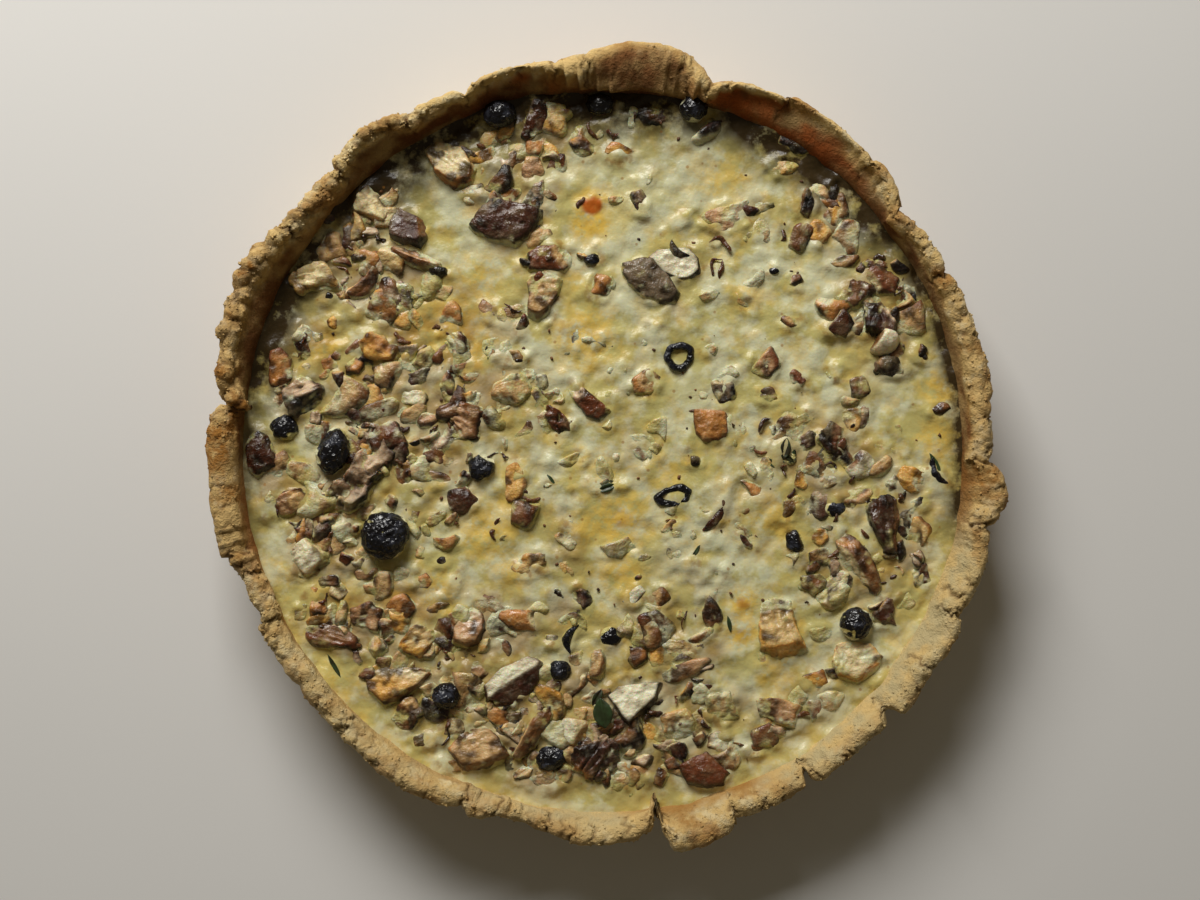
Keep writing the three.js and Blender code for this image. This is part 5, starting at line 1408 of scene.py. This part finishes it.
def custard_top(shape, side):
    """The custard's top as a round grid, with one value a point for each effect.

    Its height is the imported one's, raised by rounded curds, by finer ones and wrinkles, beside what
    stands in it and beside the wall, and by blisters and burnt spots."""
    u, v = disc(side)
    angles = np.degrees(np.arctan2(v, u))
    edge = inner_radius(angles) + 1.6
    x, y = u * edge, v * edge
    from_wall = edge * (1 - np.hypot(u, v))
    flat = np.stack([x, y, 0 * x], axis=-1)
    curd, _ = nodules(flat, shape.curd_size / MM, SEED + 2)
    small_curd, _ = nodules(flat, shape.curd_size / MM * 0.45, SEED + 3)
    lumpy = 0.4 + 0.6 * ramp(noise(flat, 26, SEED + 4), -0.5, 0.5)
    curds = ((1 - 1.7 * curd**2) * lumpy + 0.9 * noise(flat, 5, SEED + 17)) * shape.curd_height / MM
    rise, stain = (near.reshape(x.shape) for near in near_toppings(x.ravel(), y.ravel()))
    # Painted shadow of the wall, with dark juices, on the custard beside it
    shaded = np.zeros_like(x)
    for *sector, width in SHADED:
        shaded = np.maximum(shaded, sectors(angles, [sector], 9) * bell(from_wall, width))
    gold = spots(x, y, BROWNED[:, :3] * (1, 1, 1.35), BROWNED[:, 3])
    burnt = spots(x, y, BROWNED[:, :3] * (1, 1, 0.7), BROWNED[:, 4])
    burnt = burnt * (0.85 + 0.3 * noise(flat, 2.2, SEED + 19))
    blisters = ramp(noise(flat, 7, SEED + 13), 0.35, 0.75) * ramp(noise(flat, 2.6, SEED + 14), -0.1, 0.5)
    wrinkles = noise(flat, 2.4, SEED + 6)
    height = level_at(x, y) + curds + 0.1 * (1 - small_curd**2 * 2) + 0.09 * wrinkles
    height += rise * (0.75 + 0.9 * noise(flat, 3.6, SEED + 20)) + 0.45 * burnt + 0.2 * blisters
    height += bell(from_wall, 3) * (0.5 + 0.9 * noise(flat, 7, SEED + 18))
    return np.stack([x, y, height], axis=-1), {
        "gold": np.clip(gold + 0.5 * blisters * ramp(noise(flat, 30, SEED + 15), -0.3, 0.5), 0, 1),
        "burnt": burnt, "bleached": spots(x, y, PALE_PATCHES, np.ones(len(PALE_PATCHES))),
        "valley": ramp(curd, 0.45, 0.85) * lumpy,
        "stain": np.clip(0.5 * (stain - 0.75) * (0.7 + 0.6 * noise(flat, 8, SEED + 16)), 0, 1),
        "shaded": shaded, "climb": rise, "by_wall": bell(from_wall, 5),
    }


class TART_OT_custard(bpy.types.Operator):
    """Makes the baked custard, level to the crust, with its soft curds and browned spots"""

    bl_idname = "tart.custard"
    bl_label = "Custard"

    grid_side = 300
    depth_rows = 6
    underside = 5.2
    taper = 0.945  # how wide the underside is beside the top

    def execute(self, context):
        side = self.grid_side
        top, values = custard_top(context.scene.tart_shape, side)
        top = top.reshape(-1, 3)
        grid = np.arange(side * side).reshape(side, side)
        ring = np.concatenate([grid[:-1, 0], grid[-1, :-1], grid[:0:-1, -1], grid[0, :0:-1]])
        down = np.linspace(0, 1, self.depth_rows + 1)[1:, None, None]
        narrow = (self.taper, self.taper, 0)
        walls = top[ring] * (1 - down) + top[ring] * narrow * down + (0, 0, self.underside) * down
        points = np.vstack([top, walls.reshape(-1, 3), [[0, 0, self.underside]]])
        below = np.arange(self.depth_rows * len(ring)).reshape(self.depth_rows, -1) + len(top)
        index = closed(np.vstack([ring, below]))
        last = index[-1]
        fan = np.column_stack([last[1:], last[:-1], np.full(len(ring), len(points) - 1)])
        faces = [grid_faces(grid), grid_faces(index)[:, ::-1], fan]
        none = np.zeros(len(points) - len(top))
        values = {key: np.append(value.ravel(), none) for key, value in values.items()}
        add_piece("custard_baked", points, faces, "custard", custard_material(), ["custard"], **values)
        return {"FINISHED"}


# Herbs and pepper

def leaf(x, y, length, width, turn, proud, seed):
    """A flat leaf or needle: a ball squashed to a pointed outline, its width falling by a power of the
    way to its tips, creased along its middle and curled."""
    rng = np.random.default_rng(seed)
    directions, faces = ball(12)
    points = directions * (length / 2, width / 2, 0.45)
    points[:, 1] *= 1 - 0.6 * np.abs(directions[:, 0]) ** 2.4
    points[:, 2] -= 0.3 * bell(points[:, 1], 0.5) + 0.2 * width / 4 * noise(points + seed, 2.6)
    points[:, 2] += 0.5 * rng.uniform(0, 1) * directions[:, 0] ** 2 * length / 6
    points[:, 2] += 0.25 * np.abs(points[:, 1])
    points += 0.1 * noise(points + seed, 1)[:, None]
    points = turned(points, turn) + (x, y, proud + level_at(x, y))
    return points, faces, {"shade": np.full(len(points), rng.uniform(0, 1))}


class TART_OT_herbs(bpy.types.Operator):
    """Lays leaves and needles of herb on the custard"""

    bl_idname = "tart.herbs"
    bl_label = "Herbs"

    def execute(self, context):
        points, faces, values = joined([leaf(*row, SEED + k) for k, row in enumerate(HERBS)])
        add_piece("herbs", points, [faces], "custard", herb_material(), **values)
        return {"FINISHED"}


class TART_OT_pepper(bpy.types.Operator):
    """Scatters cracked pepper over the custard"""

    bl_idname = "tart.pepper"
    bl_label = "Pepper"

    reach = 124
    proud = 0.35

    def execute(self, context):
        rng = np.random.default_rng(SEED + 40)
        count = context.scene.tart_shape.pepper_count
        radius = self.reach * np.sqrt(rng.random(count))
        turn = rng.uniform(0, 2 * math.pi, count)
        x, y = radius * np.cos(turn), radius * np.sin(turn)
        directions, faces = ball(2)
        sizes = rng.uniform(0.2, 0.7, (count, 1, 1)) * rng.uniform(0.6, 1.3, (count, 1, 3))
        middles = np.column_stack([x, y, level_at(x, y) + self.proud])
        uneven = 1 + 0.2 * rng.standard_normal((count, len(directions), 1))
        points, faces = repeated(middles[:, None] + directions * sizes * uneven, faces)
        shade = np.repeat(rng.random(count), len(directions))
        add_piece("pepper", points, [faces], "custard", pepper_material(), shade=shade)
        return {"FINISHED"}


# Materials

class Wiring:
    """Adds nodes to a tree and links them. A number is a value, another node's socket, or the name of an
    attribute; a colour is one too, or the name of a tone. Patterns follow the wiring's vector."""

    def __init__(self, tree):
        self.tree = tree

    @functools.cached_property
    def vector(self):
        """The object's coordinates; a node group puts its own in their place."""
        return self.add("TexCoord").outputs["Object"]

    def add(self, kind, inputs=None, **settings):
        """A node with those settings, and its inputs by name or number; a colour leaves out its alpha."""
        node = self.tree.nodes.new("ShaderNode" + kind)
        for key, value in settings.items():
            setattr(node, key, value)
        for name, value in (inputs or {}).items():
            socket = node.inputs[name]
            if isinstance(value, bpy.types.NodeSocket):
                self.tree.links.new(value, socket)
            elif socket.type == "RGBA":
                socket.default_value = (*value[:3], 1)
            else:
                socket.default_value = value
        return node

    def attribute(self, name, output="Fac"):
        """The socket of a piece's own attribute."""
        return self.add("Attribute", attribute_name=name).outputs[output]

    def number(self, value):
        """The value itself, or the attribute that it names."""
        return self.attribute(value) if isinstance(value, str) else value

    def noise(self, size, detail=3.0, roughness=0.55):
        """Noise whose features are about that many millimetres wide."""
        inputs = {"Vector": self.vector, "Scale": 0.5 / (size * MM), "Detail": detail}
        return self.add("TexNoise", {**inputs, "Roughness": roughness}).outputs["Fac"]

    def ramp(self, value, low, high):
        """0 below low and 1 above high, or the other way where low is the higher."""
        inputs = {"Value": self.number(value), "From Min": low, "From Max": high}
        return self.add("MapRange", inputs, interpolation_type="SMOOTHSTEP").outputs["Result"]

    def patches(self, size, detail, low, high, roughness=0.55):
        """Patches where noise of that size is above low, full where it is above high."""
        return self.ramp(self.noise(size, detail, roughness), low, high)

    def math(self, operation, first, second):
        inputs = {0: self.number(first), 1: self.number(second)}
        return self.add("Math", inputs, operation=operation).outputs[0]

    def plus(self, first, second):
        return self.math("ADD", first, second)

    def minus(self, first, second):
        return self.math("SUBTRACT", first, second)

    def times(self, first, second):
        return self.math("MULTIPLY", first, second)

    def mix(self, share, first, second, blend="MIX"):
        """The second colour over the first, by that share."""
        colours = [tone_of(value) if isinstance(value, str) else value for value in (first, second)]
        inputs = {0: self.number(share), 6: colours[0], 7: colours[1]}
        return self.add("Mix", inputs, data_type="RGBA", blend_type=blend).outputs[2]

    def bump(self, height, depth, strength=1.0):
        """A normal bent by a height from 0 to 1 that stands for that many millimetres."""
        inputs = {"Height": height, "Distance": depth * MM, "Strength": strength}
        return self.add("Bump", inputs).outputs["Normal"]


def material_once(build):
    """Keeps the material that a function describes, so that pieces share it. The function gets the
    wiring, and returns the inputs of the surface shader."""
    @functools.wraps(build)
    def kept():
        name = build.__name__
        if name in bpy.data.materials:
            return bpy.data.materials[name]
        material = bpy.data.materials.new(name)
        material.use_nodes = True
        material.node_tree.nodes.clear()
        wiring = Wiring(material.node_tree)
        shader = wiring.add("BsdfPrincipled", build(wiring))
        wiring.add("OutputMaterial", {"Surface": shader.outputs["BSDF"]})
        return material
    return kept


def named_group(name, inputs, outputs, fill):
    """The node group of that name, made by fill the first time."""
    group = bpy.data.node_groups.get(name)
    if group is None:
        group = bpy.data.node_groups.new(name, "ShaderNodeTree")
        for socket, kind, value in inputs:
            made = group.interface.new_socket(socket, in_out="INPUT", socket_type="NodeSocket" + kind)
            if value is not None:
                made.default_value = value
        for socket, kind in outputs:
            group.interface.new_socket(socket, in_out="OUTPUT", socket_type="NodeSocket" + kind)
        source = group.nodes.new("NodeGroupInput").outputs
        sink = group.nodes.new("NodeGroupOutput").inputs
        wiring = Wiring(group)
        wiring.vector = source["Vector"]
        for socket, value in fill(wiring, source).items():
            group.links.new(value, sink[socket])
    return group


def specks(wiring, scale, share):
    """A mask of small specks: round dots where a random cell's middle is near, in that share of cells."""
    def fill(wiring, source):
        cells = wiring.add("TexVoronoi", {"Vector": wiring.vector, "Scale": source["Scale"]})
        dots = wiring.ramp(cells.outputs["Distance"], 0.16, 0.08)
        chosen = wiring.add("SeparateColor", {"Color": cells.outputs["Color"]}).outputs["Red"]
        return {"Mask": wiring.times(dots, wiring.math("LESS_THAN", chosen, source["Share"]))}
    inputs = [("Vector", "Vector", None), ("Scale", "Float", 200.0), ("Share", "Float", 0.2)]
    group = named_group("specks", inputs, [("Mask", "Float")], fill)
    inputs = {"Vector": wiring.vector, "Scale": scale, "Share": share}
    return wiring.add("Group", inputs, node_tree=group).outputs["Mask"]


def custard_colour(wiring):
    """Baked custard: cream with paler clouds and fine yellow flecks."""
    def fill(wiring, source):
        clouds = wiring.patches(6, 4, 0.42, 0.58, 0.6)
        flecks = wiring.patches(3.6, 3, 0.48, 0.7, 0.6)
        cream = wiring.mix(clouds, source["Custard"], source["Pale"])
        return {"Color": wiring.mix(wiring.times(flecks, 0.38), cream, source["Gold"])}
    tones = {"Custard": "custard", "Pale": "custard_pale", "Gold": "custard_gold"}
    inputs = [("Vector", "Vector", None)] + [(name, "Color", None) for name in tones]
    group = named_group("custard colour", inputs, [("Color", "Color")], fill)
    inputs = {"Vector": wiring.vector, **{socket: tone_of(name) for socket, name in tones.items()}}
    return wiring.add("Group", inputs, node_tree=group).outputs["Color"]


@material_once
def crust_material(wiring):
    """Crumbly shortcrust: golden, toasted in patches, with painted shade between the crumbs, and smoother
    inside.
    """
    fine = wiring.noise(1.6, 4, 0.65)
    toast = wiring.times(wiring.patches(8, 5, 0.46, 0.62, 0.6), 0.7)
    toast = wiring.times(wiring.plus(toast, wiring.times("toast", 0.35)), wiring.ramp(fine, 0.2, 0.55))
    pale = wiring.ramp(wiring.plus(fine, wiring.noise(5, 4)), 0.95, 1.2)
    colour = wiring.mix(pale, "crust", "crust_pale")
    colour = wiring.mix(toast, colour, "crust_toasted")
    outside = wiring.times("outside", wiring.patches(8, 5, 0.3, 0.65))
    colour = wiring.mix(wiring.times(outside, 0.75), colour, "crust_toasted")
    # The inside wall: toasted crust with painted shade
    inside = wiring.mix("dark_wall", "crust_toasted", "crust_wall")
    inside = wiring.mix(wiring.times(wiring.patches(6, 4, 0.4, 0.7), 0.5), inside, "crust")
    # Painted orange glow of bounced light on the shaded inside wall
    glow = wiring.times("glow", wiring.patches(9, 3, 0.4, 0.6))
    inside = wiring.mix(wiring.times(glow, 0.8), inside, "crust_red")
    colour = wiring.mix(wiring.times("wall", 0.8), colour, inside)
    colour = wiring.mix("dark_wall", colour, inside)
    flour = wiring.mix(wiring.patches(4, 4, 0.4, 0.65), "crust_floury", "crust")
    colour = wiring.mix("flour", colour, flour)
    colour = wiring.mix(wiring.times(specks(wiring, 260.0, 0.15), 0.4), colour, "crust_dark")
    # Painted shade in the crevices and cracks
    colour = wiring.mix("crevice", colour, "crust_dark")
    sand = wiring.plus(wiring.noise(0.5, 3, 0.7), wiring.noise(1.5, 3, 0.7))
    bump = wiring.bump(sand, 0.75)
    return {"Base Color": colour, "Roughness": 0.85, "Normal": bump, "Specular IOR Level": 0.3}


@material_once
def mushroom_material(wiring):
    """Cooked mushroom: its tones by attribute, mottled, with painted shade in folds and at the foot, darker
    at cut edges, under custard.
    """
    tone = wiring.attribute("tone", "Color")
    red = wiring.add("SeparateColor", {"Color": tone}).outputs["Red"]
    mottled = wiring.times(wiring.ramp(red, 0.95, 0.3), wiring.patches(2.6, 6, 0.44, 0.62, 0.72))
    mottling = wiring.mix(1.0, tone, (0.5, 0.4, 0.29), "MULTIPLY")
    colour = wiring.mix(wiring.times(mottled, 0.6), tone, mottling)
    light = wiring.patches(1.3, 5, 0.5, 0.66, 0.75)
    colour = wiring.mix(wiring.times(light, 0.2), colour, wiring.mix(0.5, tone, "ivory"))
    dark = wiring.mix(1.0, tone, (0.24, 0.15, 0.09), "MULTIPLY")
    # Painted shade in folds, creases and the grooves between fibres
    colour = wiring.mix(wiring.times("fold", 0.7), colour, dark)
    # Darker cut edges, and painted shade at the foot
    burnt = wiring.times("edge", wiring.patches(2.2, 4, 0.35, 0.6))
    colour = wiring.mix(wiring.times(burnt, 0.35), colour, dark)
    ragged = wiring.minus(wiring.noise(1.9, 5, 0.65), 0.5)
    film = wiring.ramp(wiring.plus("film", ragged), 0.12, 0.92)
    colour = wiring.mix(wiring.times(film, 0.92), colour, custard_colour(wiring))
    wet = wiring.patches(2.8, 4, 0.42, 0.62, 0.6)
    shine = wiring.plus(wiring.times(wiring.ramp("gloss", -0.4, 1.2), 0.2), wiring.times(wet, 0.2))
    return {
        "Base Color": colour, "Roughness": wiring.minus(0.54, shine), "Specular IOR Level": 0.5,
        "Normal": wiring.bump(wiring.noise(1.4, 4, 0.55), 1.3),
        "Coat Weight": wiring.times(wet, 0.5), "Coat Roughness": 0.2,
        "Subsurface Weight": 0.4, "Subsurface Radius": (2.6, 1.3, 0.6), "Subsurface Scale": MM,
    }


@material_once
def olive_material(wiring):
    """A black olive: nearly black with a bluish bloom on its wrinkles, which also stands in for painted
    sheen, and glossy.
    """
    bloom_and_sheen = wiring.patches(2.4, 5, 0.48, 0.75, 0.65)
    colour = wiring.mix(wiring.times(bloom_and_sheen, 0.5), wiring.attribute("tone", "Color"), (0.09, 0.10, 0.14))
    film = wiring.plus("film", wiring.minus(wiring.noise(1.3, 4), 0.5))
    colour = wiring.mix(wiring.ramp(film, 0.45, 0.75), colour, custard_colour(wiring))
    ridges = wiring.math("ABSOLUTE", wiring.minus(wiring.noise(1.5, 2, 0.5), 0.5), 0.0)
    return {
        "Base Color": colour, "Roughness": wiring.plus(0.2, wiring.times(bloom_and_sheen, 0.25)),
        "Normal": wiring.bump(wiring.ramp(ridges, 0.12, 0.0), 0.35, 0.8),
    }


@material_once
def custard_material(wiring):
    """Baked custard with melted cheese: cream, yellow between the curds, golden and burnt in spots."""
    colour = custard_colour(wiring)
    colour = wiring.mix(wiring.times("bleached", 0.5), colour, "custard_pale")
    valley = wiring.times("valley", wiring.patches(12, 3, 0.3, 0.6))
    colour = wiring.mix(wiring.times(valley, 0.3), colour, "custard_gold")
    fine = wiring.noise(1.8, 4, 0.65)
    colour = wiring.mix(wiring.times("gold", wiring.ramp(fine, 0.3, 0.6)), colour, "custard_gold")
    # Juice stain and painted shade round the pieces, strongest where the custard climbs them
    stain = wiring.times("stain", wiring.patches(4, 4, 0.25, 0.6))
    stain = wiring.math("MAXIMUM", stain, wiring.times("climb", wiring.patches(2.6, 4, 0.5, 0.7)))
    colour = wiring.mix(wiring.times(stain, 0.6), colour, "custard_stain")
    colour = wiring.mix(wiring.times("by_wall", 0.25), colour, "custard_gold")
    # Painted shadow of the wall, with dark juices, darkens the custard beside it
    shaded = wiring.times("shaded", wiring.patches(5, 5, 0.25, 0.6, 0.65))
    colour = wiring.mix(shaded, colour, "juice")
    burnt = wiring.minus(wiring.times("burnt", 1.35), wiring.times(fine, 0.35))
    colour = wiring.mix(wiring.ramp(burnt, 0.1, 1.0), colour, "custard_brown")
    colour = wiring.mix(wiring.times(specks(wiring, 210.0, 0.22), 0.6), colour, "crust_toasted")
    return {
        "Base Color": colour, "Roughness": 0.32, "Specular IOR Level": 0.35,
        "Normal": wiring.bump(wiring.noise(1.9, 3, 0.55), 0.5),
        "Subsurface Weight": 0.12, "Subsurface Radius": (3.0, 2.0, 0.9), "Subsurface Scale": MM,
    }


@material_once
def herb_material(wiring):
    """Cooked green herb."""
    shade = wiring.times("shade", wiring.patches(1.6, 4, 0.3, 0.6))
    return {"Base Color": wiring.mix(shade, "leaf", "umber"), "Roughness": 0.4}


@material_once
def pepper_material(wiring):
    """Cracked pepper, black to brown."""
    return {"Base Color": wiring.mix("shade", "charcoal", "brown"), "Roughness": 0.7}


@material_once
def floor_material(wiring):
    """Pale plain floor, a little cloudy."""
    cloudy = wiring.patches(180, 2, 0.3, 0.7)
    return {"Base Color": wiring.mix(cloudy, (0.80, 0.79, 0.77), (0.83, 0.82, 0.80)), "Roughness": 0.7}


# The stage

def look_at(thing, place, target):
    """Puts a light or camera at place, in metres, facing the target."""
    thing.location = place
    thing.rotation_euler = (Vector(target) - Vector(place)).to_track_quat("-Z", "Y").to_euler()


class TART_OT_stage(bpy.types.Operator):
    """Makes the floor, the window's light and the camera straight above"""

    bl_idname = "tart.stage"
    bl_label = "Stage"

    floor_reach = 3.0
    floor_gap = 0.0002  # between the floor and the tart's base
    window_size = (0.7, 0.5)
    window_watts = 17.6
    window_colour = (1.0, 0.98, 0.94)
    window_place = (-0.32, 1.02, 0.78)
    window_target = (0, 0, 0.02)
    camera_height = 0.637
    camera_aside = (-2.5, -1.4, 0)
    focal_pixels = 1697
    photo_width = 1200

    def execute(self, context):
        self.floor()
        self.light()
        self.world(context.scene)
        self.camera(context.scene)
        context.scene.view_settings.view_transform = "Standard"
        return {"FINISHED"}

    def floor(self):
        """A level square under the base."""
        half = self.floor_reach
        mesh = bpy.data.meshes.new("floor")
        corners = [(-half, -half), (half, -half), (half, half), (-half, half)]
        mesh.from_pydata([(x, y, -self.floor_gap) for x, y in corners], [], [(0, 1, 2, 3)])
        mesh.materials.append(floor_material())
        floor = bpy.data.objects.new("floor", mesh)
        bpy.context.scene.collection.objects.link(floor)

    def light(self):
        """One soft window at the far side."""
        window = bpy.data.lights.new("window", "AREA")
        window.shape = "RECTANGLE"
        window.size, window.size_y = self.window_size
        window.energy = self.window_watts
        window.color = self.window_colour
        lamp = bpy.data.objects.new("window", window)
        bpy.context.scene.collection.objects.link(lamp)
        look_at(lamp, self.window_place, self.window_target)

    def world(self, scene):
        """Dim daylight from all round, which the camera sees as a pale wall."""
        scene.world = bpy.data.worlds.new("room")
        scene.world.use_nodes = True
        tree = scene.world.node_tree
        tree.nodes.clear()
        wiring = Wiring(tree)
        room = wiring.add("Background", {"Color": (1.0, 0.86, 0.6), "Strength": 0.078})
        wall = wiring.add("Background", {"Color": (0.85, 0.85, 0.84), "Strength": 0.7})
        seen = wiring.add("LightPath").outputs["Is Camera Ray"]
        both = wiring.add("MixShader", {0: seen, 1: room.outputs[0], 2: wall.outputs[0]})
        wiring.add("OutputWorld", {"Surface": both.outputs[0]})

    def camera(self, scene):
        """A camera that looks straight down on the tart."""
        data = bpy.data.cameras.new("camera")
        data.sensor_width = 36
        data.lens = data.sensor_width * self.focal_pixels / self.photo_width
        data.clip_start = 0.01
        camera = bpy.data.objects.new("camera", data)
        scene.collection.objects.link(camera)
        aside = placed(np.array([self.camera_aside], float))[0]
        camera.location = (aside[0], aside[1], self.camera_height)
        scene.camera = camera


class TART_PT_panel(bpy.types.Panel):
    """Lists the steps that make the tart"""

    bl_idname = "TART_PT_panel"
    bl_label = "Mushroom Tart"
    bl_space_type = "VIEW_3D"
    bl_region_type = "UI"
    bl_category = "Tart"

    def draw(self, context):
        layout = self.layout
        for step in STEPS:
            layout.operator(step.bl_idname)
        for settings in (context.scene.tart_shape, context.scene.tart_tones):
            column = layout.column(align=True)
            for key in type(settings).__annotations__:
                column.prop(settings, key)


STEPS = (
    TART_OT_crust, TART_OT_crumbs, TART_OT_custard, TART_OT_toppings, TART_OT_rings, TART_OT_bits,
    TART_OT_strands, TART_OT_herbs, TART_OT_pepper, TART_OT_stage)
CLASSES = (TartShape, TartTones, *STEPS, TART_PT_panel)


def register():
    for kind in CLASSES:
        bpy.utils.register_class(kind)
    bpy.types.Scene.tart_shape = PointerProperty(type=TartShape)
    bpy.types.Scene.tart_tones = PointerProperty(type=TartTones)


def unregister():
    del bpy.types.Scene.tart_tones
    del bpy.types.Scene.tart_shape
    for kind in reversed(CLASSES):
        bpy.utils.unregister_class(kind)


def main():
    register()
    for step in STEPS:
        group, name = step.bl_idname.split(".")
        getattr(getattr(bpy.ops, group), name)()


if __name__ == "__main__":
    main()
